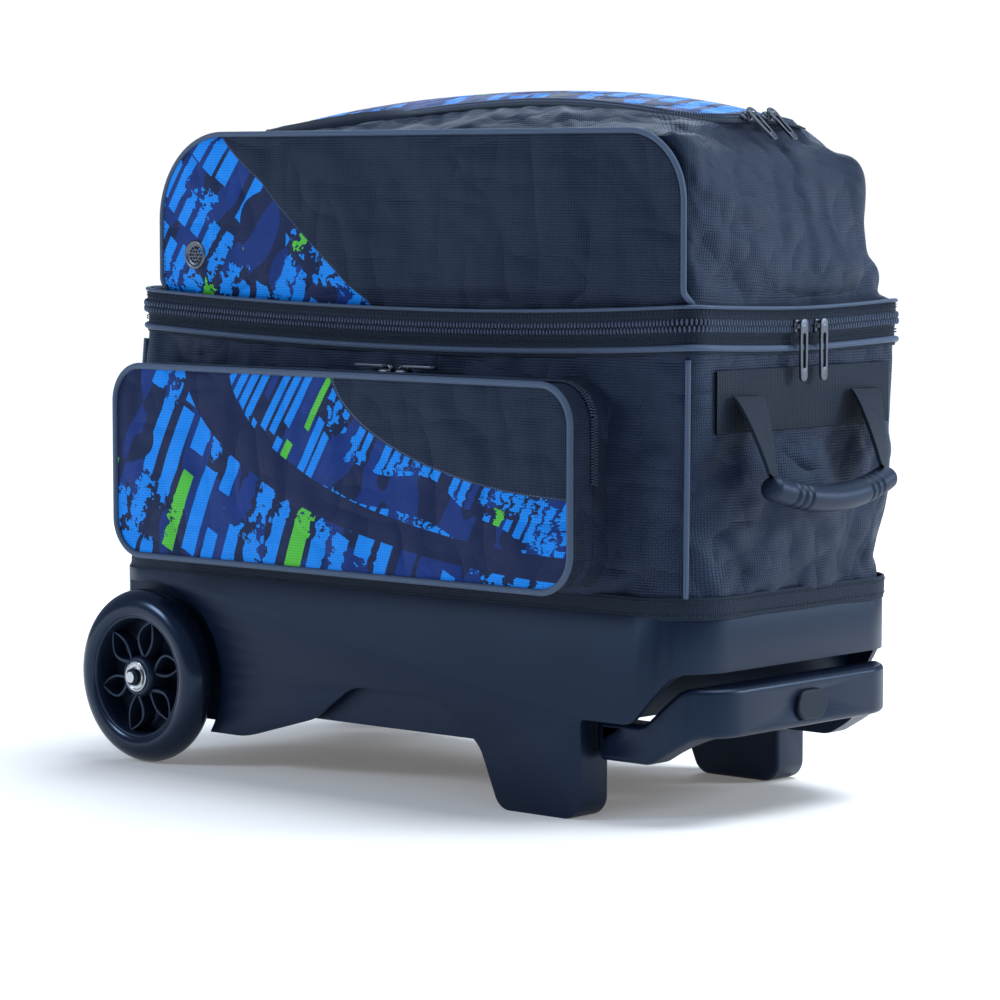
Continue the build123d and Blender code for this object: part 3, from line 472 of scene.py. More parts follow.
class Nodes:
    """Short way to write a node tree: each call makes a node and returns its output."""

    def __init__(self, tree):
        self.tree = tree

    def plug(self, value, socket):
        """Links a wire to a socket, or sets a plain value on it."""
        if isinstance(value, Wire):
            self.tree.links.new(value.socket, socket)
        else:
            socket.default_value = value

    def place(self, kind, inputs, **fields):
        """New node with its fields and inputs set."""
        node = self.tree.nodes.new(kind)
        for field, value in fields.items():
            setattr(node, field, value)
        for key, value in inputs.items():
            self.plug(value, node.inputs[key])
        return node

    def make(self, kind, inputs, output=0, **fields):
        return Wire(self, self.place(kind, inputs, **fields).outputs[output])

    def math(self, operation, *values):
        return self.make("ShaderNodeMath", dict(enumerate(values)), operation=operation)

    def mix(self, factor, a, b):
        return self.make("ShaderNodeMix", {"Factor": factor, "A": a, "B": b}, "Result", data_type="FLOAT")

    def tint(self, factor, a, b, blend="MIX"):
        return self.make("ShaderNodeMix", {0: factor, 6: a, 7: b}, 2, data_type="RGBA", blend_type=blend)

    def split(self, vector):
        node = self.place("ShaderNodeSeparateXYZ", {0: vector})
        return [Wire(self, socket) for socket in node.outputs]

    def join(self, x, y, z=0.0):
        return self.make("ShaderNodeCombineXYZ", {0: x, 1: y, 2: z})

    def mapping(self, vector, **inputs):
        return self.make("ShaderNodeMapping", {"Vector": vector, **inputs})

    def noise(self, vector, scale, detail=2.0, rough=0.5):
        return self.make("ShaderNodeTexNoise", {"Vector": vector, "Scale": scale, "Detail": detail,
                                                "Roughness": rough})

    def draw(self, x, y, z, output):
        """White noise of a cell: its value (0) or its colour (1)."""
        return self.make("ShaderNodeTexWhiteNoise", {"Vector": self.join(x, y, z)}, output,
                         noise_dimensions="3D")

    def step(self, value, low, high, a=0.0, b=1.0):
        return self.make("ShaderNodeMapRange", {"Value": value, "From Min": low, "From Max": high,
                                                "To Min": a, "To Max": b}, interpolation_type="SMOOTHSTEP")

    def chart(self):
        """The piece's own map, in metres."""
        return self.make("ShaderNodeUVMap", {}, uv_map="UVMap")

    def spot(self):
        """Object coordinates, in metres."""
        return self.make("ShaderNodeTexCoord", {}, "Object")

    def bump(self, height, distance, strength=1.0, **normal):
        """Bump node; distance in millimetres."""
        return self.make("ShaderNodeBump", {"Height": height, "Distance": distance / 1000,
                                            "Strength": strength, **normal})

    def group(self, name, **inputs):
        """Places a shared group and gives its outputs by name."""
        node = self.tree.nodes.new("ShaderNodeGroup")
        node.node_tree = bpy.data.node_groups[name]
        for key, value in inputs.items():
            self.plug(value, node.inputs[key])
        return {socket.name: Wire(self, socket) for socket in node.outputs}

    def finish(self, shader, **results):
        """Feeds finished values to the sockets of a shader or of a group's output."""
        for key, value in results.items():
            self.plug(value, shader.inputs[key.replace("_", " ")])


def new_group(name, inputs, outputs):
    """Empty shader group with named sockets; gives its builder, its input wires and its sink."""
    tree = bpy.data.node_groups.new(name, "ShaderNodeTree")
    for label, kind, value in inputs:
        socket = tree.interface.new_socket(label, in_out="INPUT", socket_type=kind)
        if value is not None:
            socket.default_value = value
    for label, kind in outputs:
        tree.interface.new_socket(label, in_out="OUTPUT", socket_type=kind)
    build = Nodes(tree)
    source = tree.nodes.new("NodeGroupInput")
    sink = tree.nodes.new("NodeGroupOutput")
    return build, {socket.name: Wire(build, socket) for socket in source.outputs}, sink


def new_material(name, **constants):
    """Material with a Principled shader whose plain values are set on its own sockets."""
    material = bpy.data.materials.new(name)
    material.use_nodes = True
    shader = material.node_tree.nodes["Principled BSDF"]
    build = Nodes(material.node_tree)
    build.finish(shader, **constants)
    return material, build, shader


def shade(color, share, lift=0.0):
    """A colour times a share, plus a lift, held at one."""
    return [min(1, c * share + lift) for c in color[:3]] + [1]


FLOAT, COLOR, VECTOR = "NodeSocketFloat", "NodeSocketColor", "NodeSocketVector"
COOL_GLINT = (0.5, 0.7, 1.0, 1)


def weave_group():
    """Basket weave on a map in metres: two crossing thread waves that take turns on a checker."""
    build, g, sink = new_group("Basket weave", [("Map", VECTOR, None), ("Pitch", FLOAT, 1.6)],
                               [("Height", FLOAT), ("Shade", FLOAT)])
    part = build.split(g["Map"])
    per_metre = 1000.0 / g["Pitch"]
    u = part[0] * per_metre
    v = part[1] * per_metre
    warp = abs(build.math("SINE", u * pi))
    weft = abs(build.math("SINE", v * pi))
    parity = abs(build.math("MODULO", floor(u) + floor(v), 2.0))
    over = build.mix(parity, warp * weft ** 0.5, weft * warp ** 0.5)
    build.finish(sink, Height=over, Shade=build.mix(parity, 0.0, 1.0))


def crumple_group():
    """Soft creases of loose cloth on object coordinates: how far two stretched noises are from even."""
    build, g, sink = new_group("Crumple", [("Place", VECTOR, None)], [("Height", FLOAT)])
    total = 0.0
    for scale, turn, share in (((26.0, 20.0, 11.0), (0.5, 0.7, 0.3), 1.0),
                               ((15.0, 30.0, 34.0), (-0.6, 0.4, 0.9), 0.7)):
        spot = build.mapping(g["Place"], Rotation=turn, Scale=scale)
        total = total + abs(build.noise(spot, 1.0, 1.0, 0.4) - 0.5) * share
    build.finish(sink, Height=total)


def ribs_group():
    """Fine ribs across a map in metres: the size of a sine, with a second finer one across it."""
    build, g, sink = new_group("Ribbed tape", [("Map", VECTOR, None), ("Pitch", FLOAT, 1.5)],
                               [("Height", FLOAT)])
    part = build.split(g["Map"])
    per_metre = 1000.0 * pi / g["Pitch"]
    along = abs(build.math("SINE", part[0] * per_metre))
    across = abs(build.math("SINE", part[1] * per_metre))
    build.finish(sink, Height=along + across * 0.6)


def grain_group():
    """Fine moulded grain and slow colour drift on object coordinates."""
    build, g, sink = new_group("Moulded grain", [("Place", VECTOR, None), ("Size", FLOAT, 1.0)],
                               [("Height", FLOAT), ("Drift", FLOAT), ("Scuffs", FLOAT)])
    fine = build.noise(g["Place"], 2600.0 / g["Size"], 3.0, 0.6)
    drift = build.noise(g["Place"], 14.0, 2.0, 0.5)
    streak = build.mapping(g["Place"], Scale=(40.0, 90.0, 420.0))
    scuffs = build.step(build.noise(streak, 1.0, 4.0, 0.7), 0.58, 0.75)
    build.finish(sink, Height=fine, Drift=drift, Scuffs=scuffs)


def print_group():
    """Brush-stroke print in metres: leaning bars in staggered rows, some broken, a few green.

    The plane is turned and bent, then cut into bars by the fraction of one coordinate and into
    strokes by the fraction of the other; each cell draws its width, length and colour from white
    noise, and low noise roughens the edges where it is high."""
    build, g, sink = new_group(
        "Brush print",
        [("Map", VECTOR, None), ("Turn", FLOAT, 0.5), ("Bend", FLOAT, 1.0), ("Bar", FLOAT, 14.0),
         ("Stroke", FLOAT, 60.0), ("Ground", COLOR, (0, 0, 0.05, 1)), ("Deep", COLOR, (0, 0.03, 0.2, 1)),
         ("Bright", COLOR, (0, 0.2, 1, 1)), ("Accent", COLOR, (0.1, 0.6, 0.05, 1)), ("Seed", FLOAT, 0.0)],
        [("Color", COLOR), ("Ink", FLOAT)])
    part = build.split(g["Map"])
    cosine = build.math("COSINE", g["Turn"])
    sine = build.math("SINE", g["Turn"])
    x = part[0] * cosine + part[1] * sine
    y = part[1] * cosine - part[0] * sine
    x = x + y * y * g["Bend"]
    flat = build.join(x, y, g["Seed"])

    ragged = build.step(build.noise(flat, 16.0, 1.0), 0.50, 0.60)
    wobble = (build.noise(flat, 120.0, 2.0, 0.6) - 0.5) * (ragged * 0.022 + 0.0006)
    bar = (x + wobble) * 1000.0 / g["Bar"]
    index = floor(bar)
    inside = build.math("FRACT", bar)
    pick = build.draw(index, g["Seed"], 3.0, 0)
    long = (y + wobble * 2.5) * 1000.0 / g["Stroke"]
    long = long + (pick * 0.45 + index * 0.11)
    along = build.math("FRACT", long)
    dice = build.split(build.draw(index, floor(long), g["Seed"], 1))

    width = dice[0] * 0.22 + 0.56
    length = dice[1] * 0.38 + 0.6
    chips = build.step(build.noise(flat, 150.0, 2.0, 0.6), 0.35, 0.37)
    chips = build.math("MAXIMUM", chips, 1.0 - ragged)
    ink = (inside < width) * (along < length) * chips
    drops = (build.noise(flat, 120.0, 2.0, 0.6) > 0.66) * ragged
    sweep = build.noise(flat, 11.0, 0.0) > 0.31
    ink = build.math("MAXIMUM", ink, drops) * sweep
    under = build.noise(build.mapping(flat, Scale=(1.0, 0.35, 1.0)), 34.0, 1.0) > 0.52
    ground = build.tint(under * 0.8, g["Ground"], g["Deep"])
    paint = build.tint(dice[2] < 0.075, build.tint(dice[2] > 0.86, g["Bright"], g["Deep"]), g["Accent"])
    build.finish(sink, Color=build.tint(ink, ground, paint), Ink=ink)


# ------------------------------------------------------------------ materials
def crumpled(build, height, depth, crumple_depth):
    """Normal of a fabric: its weave over the soft creases of loose cloth, depths in millimetres."""
    creases = build.group("Crumple", Place=build.spot())
    return build.bump(height, depth, Normal=build.bump(creases["Height"], crumple_depth))


def woven_material(name, sizes, color, rough=0.54, pitch=None, sheen=0.04):
    """Ballistic nylon: basket weave bump, painted shade between the threads and slow dye drift."""
    material, build, shader = new_material(name, Sheen_Weight=sheen, Sheen_Roughness=0.4,
                                           Specular_IOR_Level=0.42, Specular_Tint=COOL_GLINT)
    weave = build.group("Basket weave", Map=build.chart(), Pitch=pitch or sizes.weave_pitch)
    height = weave["Height"]
    drift = build.noise(build.spot(), 22.0, 3.0, 0.6)
    # Painted shade: the colour is darker in the valleys between threads and on one cell of each checker pair,
    # and lighter on the crowns; the drift is random dye tone.
    lift = height * 0.75 + weave["Shade"] * 0.22 + drift * 0.25
    build.finish(shader, Base_Color=build.tint(lift, shade(color, 0.25), shade(color, 2.1)),
                 Roughness=build.step(height, 0.0, 1.0, rough + 0.12, rough - 0.08),
                 Normal=crumpled(build, height, 0.4, 22.0))
    return material


def printed_material(name, sizes, colours, turn, seed, border, bar=19.0, stroke=78.0, fan=False):
    """Printed nylon; border gives the masks of the plain woven part and of its seam."""
    material, build, shader = new_material(name, Sheen_Weight=0.02, Sheen_Roughness=0.4,
                                           Specular_IOR_Level=0.34, Specular_Tint=COOL_GLINT)
    chart = build.chart()
    height = build.group("Basket weave", Map=chart, Pitch=sizes.weave_pitch)["Height"]

    def brush(place, **inputs):
        return build.group("Brush print", Map=place, Bend=0.0, Ground=colours.print_ground,
                           Deep=colours.print_deep, Bright=colours.print_bright,
                           Accent=colours.print_accent, **inputs)["Color"]

    color = brush(chart, Turn=turn, Seed=seed, Bar=bar, Stroke=stroke)
    part = build.split(chart)
    plain, seam = border(build, part)
    if fan:
        reach = pocket_reach(build, part)
        fanned = build.join(part[0] * 0.87 - part[1] * 0.5, (reach - 1.0) * 0.15)
        near = brush(fanned, Turn=0.0, Seed=seed + 4.0, Bar=9.0, Stroke=58.0)
        color = build.tint(abs(reach - 1.51) < 0.10, color, colours.print_ground)
        color = build.tint(reach < 1.42, color, near)
    # Painted shade: the weave's height darkens the print and the plain woven part in the valleys between
    # threads and lightens them on the crowns.
    thread = build.step(height, 0.0, 1.0, 0.72, 1.08)
    grey = build.make("ShaderNodeCombineColor", {0: thread, 1: thread, 2: thread})
    printed = build.tint(1.0, color, grey, "MULTIPLY")
    woven = build.tint(height, shade(colours.fabric, 0.3), shade(colours.fabric, 1.9))
    color = build.tint(seam, build.tint(plain, printed, woven), colours.thread)
    build.finish(shader, Base_Color=color, Roughness=build.mix(plain, 0.6, 0.58),
                 Normal=crumpled(build, height * build.mix(plain, 0.45, 1.0), 0.38, 16.0))
    return material


def ribbed_material(name, color, pitch, rough=0.7, depth=0.25):
    """Tape or webbing with fine ribs."""
    material, build, shader = new_material(name, Sheen_Weight=0.03, Specular_IOR_Level=0.3,
                                           Specular_Tint=COOL_GLINT)
    height = build.group("Ribbed tape", Map=build.chart(), Pitch=pitch)["Height"]
    # Painted shade: the colour is darker in the valleys between the ribs and lighter on their crowns.
    build.finish(shader, Base_Color=build.tint(height * 0.6, shade(color, 0.5), shade(color, 1.4)),
                 Roughness=build.step(height, 0.0, 1.6, rough + 0.1, rough - 0.05),
                 Normal=build.bump(height, depth, 0.8))
    return material


def moulded_material(name, color, rough, grain, size=1.0):
    """Moulded plastic or rubber: fine grain, slow drift in gloss and faint scuffs."""
    material, build, shader = new_material(name, Specular_IOR_Level=0.38, Specular_Tint=COOL_GLINT)
    grained = build.group("Moulded grain", Place=build.spot(), Size=size)
    drift = grained["Drift"]
    build.finish(shader, Base_Color=build.tint(drift, shade(color, 0.8), shade(color, 1.35, 0.002)),
                 Roughness=rough + grained["Scuffs"] * 0.08 + (drift - 0.5) * 0.12,
                 Normal=build.bump(grained["Height"], grain, 0.6))
    return material


def metal_material(name, color, rough):
    """Plated or drawn metal with fine streaks in its gloss."""
    material, build, shader = new_material(name, Metallic=1.0)
    fine = build.noise(build.mapping(build.spot(), Scale=(900.0, 900.0, 120.0)), 1.0, 3.0, 0.6)
    build.finish(shader, Base_Color=build.tint(fine, shade(color, 0.7), color),
                 Roughness=build.step(fine, 0.3, 0.7, rough - 0.06, rough + 0.1),
                 Normal=build.bump(fine, 0.01, 0.4))
    return material


def no_border(*_):
    """No plain part and no seam."""
    return 0.0, 0.0


PANEL_TOP_Z = 457.0
PANEL_LINE_X, PANEL_LINE_SLOPE = -155.7, 1.21


def panel_border(build, part):
    """Plain right of a straight line that falls from the panel's top to its foot."""
    drop = PANEL_TOP_Z - part[1] * 1000.0
    distance = part[0] * 1000.0 - (PANEL_LINE_X + drop * PANEL_LINE_SLOPE)
    return seam_masks(build, distance, part)


# Quarter ellipse that divides the pocket's face: its centre and half-widths in metres
DIVIDER_X, DIVIDER_Z = 0.222, 0.306
DIVIDER_WIDE, DIVIDER_HIGH = 0.232, 0.089


def pocket_reach(build, part):
    """Elliptic reach from the face's upper right corner, which is one on the divider."""
    a = build.math("MAXIMUM", (DIVIDER_X - part[0]) / DIVIDER_WIDE, 0.0)
    b = build.math("MAXIMUM", (DIVIDER_Z - part[1]) / DIVIDER_HIGH, 0.0)
    return build.math("SQRT", a * a + b * b)


def pocket_border(build, part):
    """Plain inside a quarter ellipse about the face's upper right corner."""
    return seam_masks(build, (1.0 - pocket_reach(build, part)) * 110.0, part)


def seam_masks(build, distance, part):
    """Plain mask right of zero distance, and a broken thread line just beside it."""
    line = abs(distance - 0.9) < 0.4
    dash = build.math("FRACT", (part[0] + part[1] * -1.0) * 330.0) < 0.66
    return distance > 0.0, line * dash


MATERIALS = {}


def make_materials(sizes, colours):
    """All shared groups and every finish, built once."""
    for make_group in (weave_group, crumple_group, ribs_group, grain_group, print_group):
        make_group()
    m, c = MATERIALS, colours
    m["fabric"] = woven_material("Ballistic nylon", sizes, c.fabric)
    m["lining"] = woven_material("Lining", sizes, c.lining, 0.8, 0.8, 0.1)
    m["foam"] = woven_material("Covered foam", sizes, c.lining, 0.85, 1.2, 0.2)
    m["pocket"] = printed_material("Printed pocket nylon", sizes, c, -0.44, 3.0, pocket_border, fan=True)
    m["panel"] = printed_material("Printed panel nylon", sizes, c, -0.62, 11.0, panel_border, 15.0, 46.0)
    m["flap"] = printed_material("Printed flap nylon", sizes, c, 0.35, 23.0, no_border)
    for key, name, color, pitch, *finish in (
            ("piping", "Piping", c.piping, 1.1, 0.5, 0.12), ("tape", "Zipper tape", c.tape, 1.3),
            ("binding", "Binding tape", c.tape, 1.7), ("webbing", "Webbing", c.webbing, 1.7, 0.6, 0.3),
            ("thread", "Sewing thread", c.seam, 0.6, 0.6, 0.05), ("board", "Board cover", c.lining, 1.8)):
        m[key] = ribbed_material(name, color, pitch, *finish)
    for key, name, color, rough, *grain in (
            ("coil", "Nylon coil", c.coil, 0.34, 0.01), ("trim", "Black trim", c.button, 0.4, 0.03),
            ("plastic", "Base plastic", c.plastic, 0.42, 0.05),
            ("grip", "Grip plastic", c.plastic, 0.38, 0.04),
            ("button", "Button plastic", c.button, 0.5, 0.06),
            ("rubber", "Handle rubber", c.rubber, 0.48, 0.05),
            ("tyre", "Urethane tyre", c.tyre, 0.2, 0.01, 2.0), ("hub", "Hub plastic", c.hub, 0.36, 0.04)):
        m[key] = moulded_material(name, color, rough, *grain)
    for key, name, color, rough in (
            ("gunmetal", "Gunmetal plate", c.gunmetal, 0.34), ("steel", "Bright steel", c.steel, 0.25),
            ("tube", "Dark tube", c.tube, 0.35)):
        m[key] = metal_material(name, color, rough)


# ------------------------------------------------------------------ soft body
LEFT_LOW, LEFT_TOP = -277.0, -247.0
RIGHT = 274.0
HALF = 120.0
BAG_FOOT, BAG_TOP = 140.0, 316.0
LEFT_LEAN = (LEFT_TOP - LEFT_LOW) / (BAG_TOP - BAG_FOOT)
ZIP_Z = 328.0


def bag_left(z):
    """Where the leaning left end stands at a height."""
    return LEFT_LOW + (z - BAG_FOOT) * LEFT_LEAN


def bag_plan(z, inset, sides=(120, 60), arc=20):
    """Lower bag's outline at a height: the left end leans in and the corners tighten upwards."""
    share = (z - BAG_FOOT) / (BAG_TOP - BAG_FOOT)
    left = bag_left(z) + inset
    corner = np.array([43 - 19 * share, 43 - 27 * share, 43 - 19 * share, 43 - 19 * share])
    corner = np.maximum(corner - inset, 2)
    return outline(left, RIGHT - inset, -HALF + inset, HALF - inset, corner, sides, arc)


def make_lower_bag(sizes):
    """Padded wall: rings up the outside, over the edge and down the inside, with soft creases."""
    m = MATERIALS
    heights = np.linspace(BAG_FOOT, BAG_TOP + 2, 25)
    plans = [bag_plan(z, 0.0, (62, 30), 6) for z in heights]
    outer = np.array([level(loop, z) for (loop, _), z in zip(plans, heights)])
    normal = np.array([level(way, 0.0) for _, way in plans])
    share = np.clip((heights - BAG_FOOT) / (BAG_TOP - BAG_FOOT), 0, 1)[:, None]
    held = np.sin(pi * share) ** 0.5
    ends = 1 - np.abs(normal[..., 1]) ** 2
    strip = soft_box(outer[..., 2], 257, 305, 14) * np.clip(ends * 2, 0, 1)
    free = held * (1 - strip)
    crease = drape(outer, 0.7, (36, 110, 50), 4) * 4.6 + drape(outer, -0.5, (44, 120, 50), 9) * 4.0
    crease += drape(outer, 1.35, (20, 80, 50), 15) * 1.5 + noise(outer, (90, 60, 50), 12) * 2.0
    lift = free * (1.0 + 2.6 * ends) - crease * free * (0.8 + 0.8 * ends)
    outer = outer + normal * lift[..., None]
    bag = surface("ball_compartment_wall", outer, False, True, m["fabric"], closed=False)
    turn_out(bag)
    height = outer[..., 2].ravel()
    pinned = (height < BAG_FOOT + 9) | (height > BAG_TOP - 6) | (strip.ravel() > 0.6)
    settle(bag, pinned, sizes.fold_depth, 1.4)
    smooth_more(bag)
    thicken(bag, 4.0, -1.0, m["lining"])
    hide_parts("lower_bag")
    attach(bag, "chassis")

    rings = []
    for out, z in ((0.2, 138.6), (1.6, 138.2), (1.9, 146.0), (1.6, 153.5), (0.2, 153.8)):
        loop, way = bag_plan(z, -out)
        wave = noise(level(loop, 0), (38, 38, 10), 21)
        rings.append(level(loop, z + 0.7 * wave))
    tape = surface("binding_tape", closed_rows(rings, 0.5, 3, 2), True, True, m["binding"])
    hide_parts("bottom_binding")
    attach(tape, "chassis")
    for name, z in (("binding_stitches_low", 141.4), ("binding_stitches_top", 150.6)):
        loop, way = bag_plan(z, -2.0, (200, 100), 24)
        row = stitch_row(name, level(loop, z), level(way, 0), 4.2, 2.8)
        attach(row, "chassis")

    arc, side = 21, 40
    for name, corner in (("right", 1), ("left", 0)):
        at = arc // 2 + corner * (arc + side)
        path = []
        for z in np.linspace(BAG_FOOT + 13, 309, 40):
            loop, way = bag_plan(z, 0, (side, 20), arc)
            path.append([*(loop[at] + way[at]), z])
        path = np.array(path)
        path[:, 0] += noise(path, 60, 31) * 0.8
        cord = tube(f"corner_piping_{name}", path, 1.9, m["piping"], False, 10, 1.0, (0, 1, 0))
        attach(cord, "chassis")
    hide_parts("corner_piping")


def stitch_row(name, path, normals, spacing, length):
    """Short threads that lie along a ring of the fabric."""
    points, along, out = resample(path, normals, spacing, True)
    shape, faces = bead(length, 0.8, 0.7)
    row = scatter(name, shape, faces, points + out * 0.2, (along, np.cross(out, along), out),
                  MATERIALS["thread"])
    return row


BAND_CORNERS = np.array([27.0, 16.0, 27.0, 27.0])


def band_plan(out, sides=(150, 70), arc=22):
    """Outline of the main zipper band, out from the bag's top edge."""
    return outline(LEFT_TOP - out, RIGHT + out, -HALF - out, HALF + out, BAND_CORNERS + out, sides, arc)


def band_wave(loop, way):
    """Rise of the zipper's line: high at the corners, low along the front, level at the sliders."""
    x, y = loop[:, 0], loop[:, 1]
    away = np.where(x < 50, (50 - x) / 270, (x - 50) / 235)
    rise = -3.3 + 7.6 * away ** 2
    end = np.clip(way[:, 0], 0, 1) ** 2
    level_end = (np.abs(y) / HALF) ** 1.6
    back = np.clip(way[:, 1], 0, 1) ** 2
    return rise * (1 - end + end * level_end) * (1 - 0.8 * back)


def coil(name, path, out, body, lean, spacing=2.9, reach=5.0, proud=1.2, high=3.0):
    """Half a zipper coil: teeth across the line, each a small bar that stands on the tape."""
    points, along, lift = resample(path, out, spacing, False)
    across = unit(np.cross(lift, along))
    shape, faces = bead(reach, spacing * 0.66, high, 6, 4)
    row = scatter(name, shape, faces, points + across * lean + lift * proud, (across, along, lift),
                  MATERIALS["coil"])
    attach(row, body)


def coil_pair(names, bodies, path, out, lean, *tooth):
    """Both halves of a coil, the second shifted by part of a step so that the teeth alternate."""
    coil(names[0], path, out, bodies[0], lean, *tooth)
    coil(names[1], path[:-1] + np.diff(path, axis=0) * 0.4, out[:-1], bodies[1], -lean, *tooth)


def open_order(way, keep):
    """Order that starts a wrapped outline after the stretch that is left out."""
    start = int(np.argmax(~keep) + np.sum(~keep))
    order = np.roll(np.arange(len(way)), -start)
    return order[keep[order]]


def make_main_zipper(sizes):
    """Two tapes, their pipings and the two halves of the coil, split at the zipper's line."""
    m = MATERIALS
    halves = (("lower", "chassis", "main_zip_lower", 309.5, ZIP_Z - 0.5, 313.5),
              ("upper", "lid", "main_zip_upper", ZIP_Z + 0.5, 340.5, 340.0))
    for name, body, node, low, high, cord_z in halves:
        rings = []
        deep = ((0.4, low), (1.9, low), (0.9, low + (high - low) * 0.55), (2.4, high), (0.4, high))
        proud = ((0.4, low), (2.4, low), (2.0, low + (high - low) * 0.5), (1.7, high), (0.4, high))
        for out, z in deep if name == "lower" else proud:
            loop, way = band_plan(out)
            rings.append(level(loop, z + band_wave(loop, way)))
        band = surface(f"zipper_tape_{name}", closed_rows(rings, 0.5, 4, 2), True, True, m["tape"])
        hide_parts(node)
        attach(band, body)
        loop, way = band_plan(2.2)
        wave = band_wave(loop, way)
        size = 2.2 if name == "lower" else 1.3
        cord = tube(f"zipper_piping_{name}", level(loop, cord_z + wave), size, m["piping"])
        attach(cord, body)
        for k, gap in enumerate((7.6, 9.4)):
            z = ZIP_Z + (gap if name == "upper" else -gap) + wave
            row = stitch_row(f"zipper_stitches_{name}_{k + 1}", level(loop, z), level(way, 0), 3.4, 2.3)
            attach(row, body)
    loop, way = band_plan(2.2)
    path = level(loop, ZIP_Z + band_wave(loop, way))
    order = open_order(way, way[:, 1] < 0.5)
    path, out = path[order], level(way, 0)[order]
    coil_pair(("coil_lower", "coil_upper"), ("chassis", "lid"), path, out, -2.1)

    x = np.linspace(LEFT_TOP + 26, RIGHT - 26, 120)
    rings = [np.stack([x, np.full_like(x, HALF + y), np.full_like(x, z)], 1)
             for y, z in ((3.6, 315), (4.1, 322), (4.5, ZIP_Z), (4.1, 334), (3.6, 341))]
    strip = surface("lid_hinge_fabric", rounded_rows(rings, [1] * 3, 4, 2), False, False, m["fabric"],
                    closed=False)
    thicken(strip, 0.8, 1.0)
    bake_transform(strip)


# ------------------------------------------------------------------ shoe compartment
FLAP_EDGE = (-184.0, 228.0, -62.0, 72.0, 34.0)
CROWN_Z = 486.5


def crown(x, y):
    """Height of the top: a peak right of the middle that falls faster to the right."""
    away = x - 65
    fall = np.where(away < 0, 3.4e-4, 6.9e-4)
    drop = np.clip(7.5 - 0.036 * away, 2.0, 12.0)
    return CROWN_Z - fall * away ** 2 - drop * (y / 62) ** 2 * (y < 0) - 9 * (y / 72) ** 2 * (y > 0)


def upper_rings():
    """Control rings of the shoe compartment: zipper edge, foot, shoulder and flap edge."""
    sides, arc = (62, 32), 9
    x0, x1, y0, y1, r = FLAP_EDGE
    edge, way = band_plan(0.4, sides, arc)
    rise = band_wave(edge, way)
    foot, foot_way = outline(-222, 272, -119, 110, (28, 15, 34, 34), sides, arc)
    top, _ = outline(x0 - 4, x1 + 4, y0 - 4, y1 + 4, r + 4, sides, arc)
    front = np.clip(-foot_way[:, 1], 0, 1) ** 2
    back = np.clip(foot_way[:, 1], 0, 1) ** 2
    right = np.clip(foot_way[:, 0], 0, 1) ** 2
    left = np.clip(-foot_way[:, 0], 0, 1) ** 2
    shoulder = 459 * front + 446 * back + 447 * right + 438 * left
    cut = 12 * front + 34 * back + 22 * right + 46 * left
    beyond = np.clip((-152 - foot[:, 0]) / 64, 0, 0.96)
    shoulder -= front * 62 * (1 - np.sqrt(1 - beyond ** 2))
    flap_z = crown(top[:, 0], top[:, 1]) - 2.0
    rings = [level(edge, 340.0 + rise), level(foot, 345.0 + rise), level(foot, shoulder), level(top, flap_z)]
    return rings, cut[:, None], foot_way


def make_upper_bag(sizes):
    """Fabric body: ledge, wall, rounded shoulder and gusset up to the flap's zipper."""
    m = MATERIALS
    rings, cut, way = upper_rings()
    points = rounded_rows(rings, [3.0, cut], [3, 13, 8], 5)
    normal = grid_normals(points)
    middle = points.mean((0, 1))
    normal *= np.sign(((points - middle) * normal).sum(-1, keepdims=True).mean())
    rows = np.linspace(0, 1, len(points))[:, None]
    held = np.clip(np.sin(pi * np.clip((rows - 0.03) / 0.94, 0, 1)), 0, 1) ** 0.5
    front = np.clip(-way[:, 1], 0, 1)[None] * (points[..., 2] < 456)
    loose = 1 - np.clip(front * 1.6, 0, 1)
    crease = drape(points, 0.6, (40, 120, 50), 52) * 4.4 + drape(points, -0.75, (50, 110, 50), 57) * 3.6
    crease += drape(points, 0.1, (30, 90, 50), 64) * 1.4 + noise(points, (110, 60, 60), 60) * 2.0
    loose = loose * np.clip((points[..., 2] - 346) / 55, 0, 1)
    loose = loose * (1 - 0.85 * np.clip((points[..., 2] - 452) / 16, 0, 1))
    points = points + normal * ((2.2 - crease * 1.15) * held * loose)[..., None]
    deep = np.where(points[..., 2] < 352, -113.5, -116.5)
    behind = soft_box(points[..., 0], -208, 262, 10) * (points[..., 2] < 452) * (points[..., 1] < -90)
    points[..., 1] += behind * np.clip(deep - points[..., 1], 0, None)
    bag = surface("shoe_compartment_body", points, False, True, m["fabric"], closed=False)
    turn_out(bag)
    rows = np.repeat(np.arange(len(points)), points.shape[1])
    height = points[..., 2].ravel()
    pinned = (height < 353) | (rows > len(points) - 3) | (front.ravel() > 0.5)
    settle(bag, pinned, sizes.fold_depth, 1.2)
    smooth_more(bag)
    thicken(bag, 2.4, -1.0, m["lining"])
    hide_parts("upper_bag", "lid_shoulder")
    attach(bag, "lid")


def turn_out(thing):
    """Faces of an open shell are turned so that they look away from its middle."""
    work = bmesh.new()
    work.from_mesh(thing.data)
    bmesh.ops.recalc_face_normals(work, faces=work.faces)
    middle = sum((v.co for v in work.verts), Vector()) / len(work.verts)
    score = sum((f.calc_center_median() - middle).dot(f.normal) * f.calc_area() for f in work.faces)
    if score < 0:
        bmesh.ops.reverse_faces(work, faces=work.faces)
    work.to_mesh(thing.data)
    work.free()


def tuck(x, z):
    """Step back of the panel's foot, so that it slips behind the band and follows its corner."""
    share = np.clip((354 - z) / 12, 0, 1)
    radius = BAND_CORNERS[1]
    beyond = np.clip(x - (RIGHT - radius), 0, radius - 1)
    return share * share * (3 - 2 * share) * (5.0 + radius - np.sqrt(radius ** 2 - beyond ** 2))


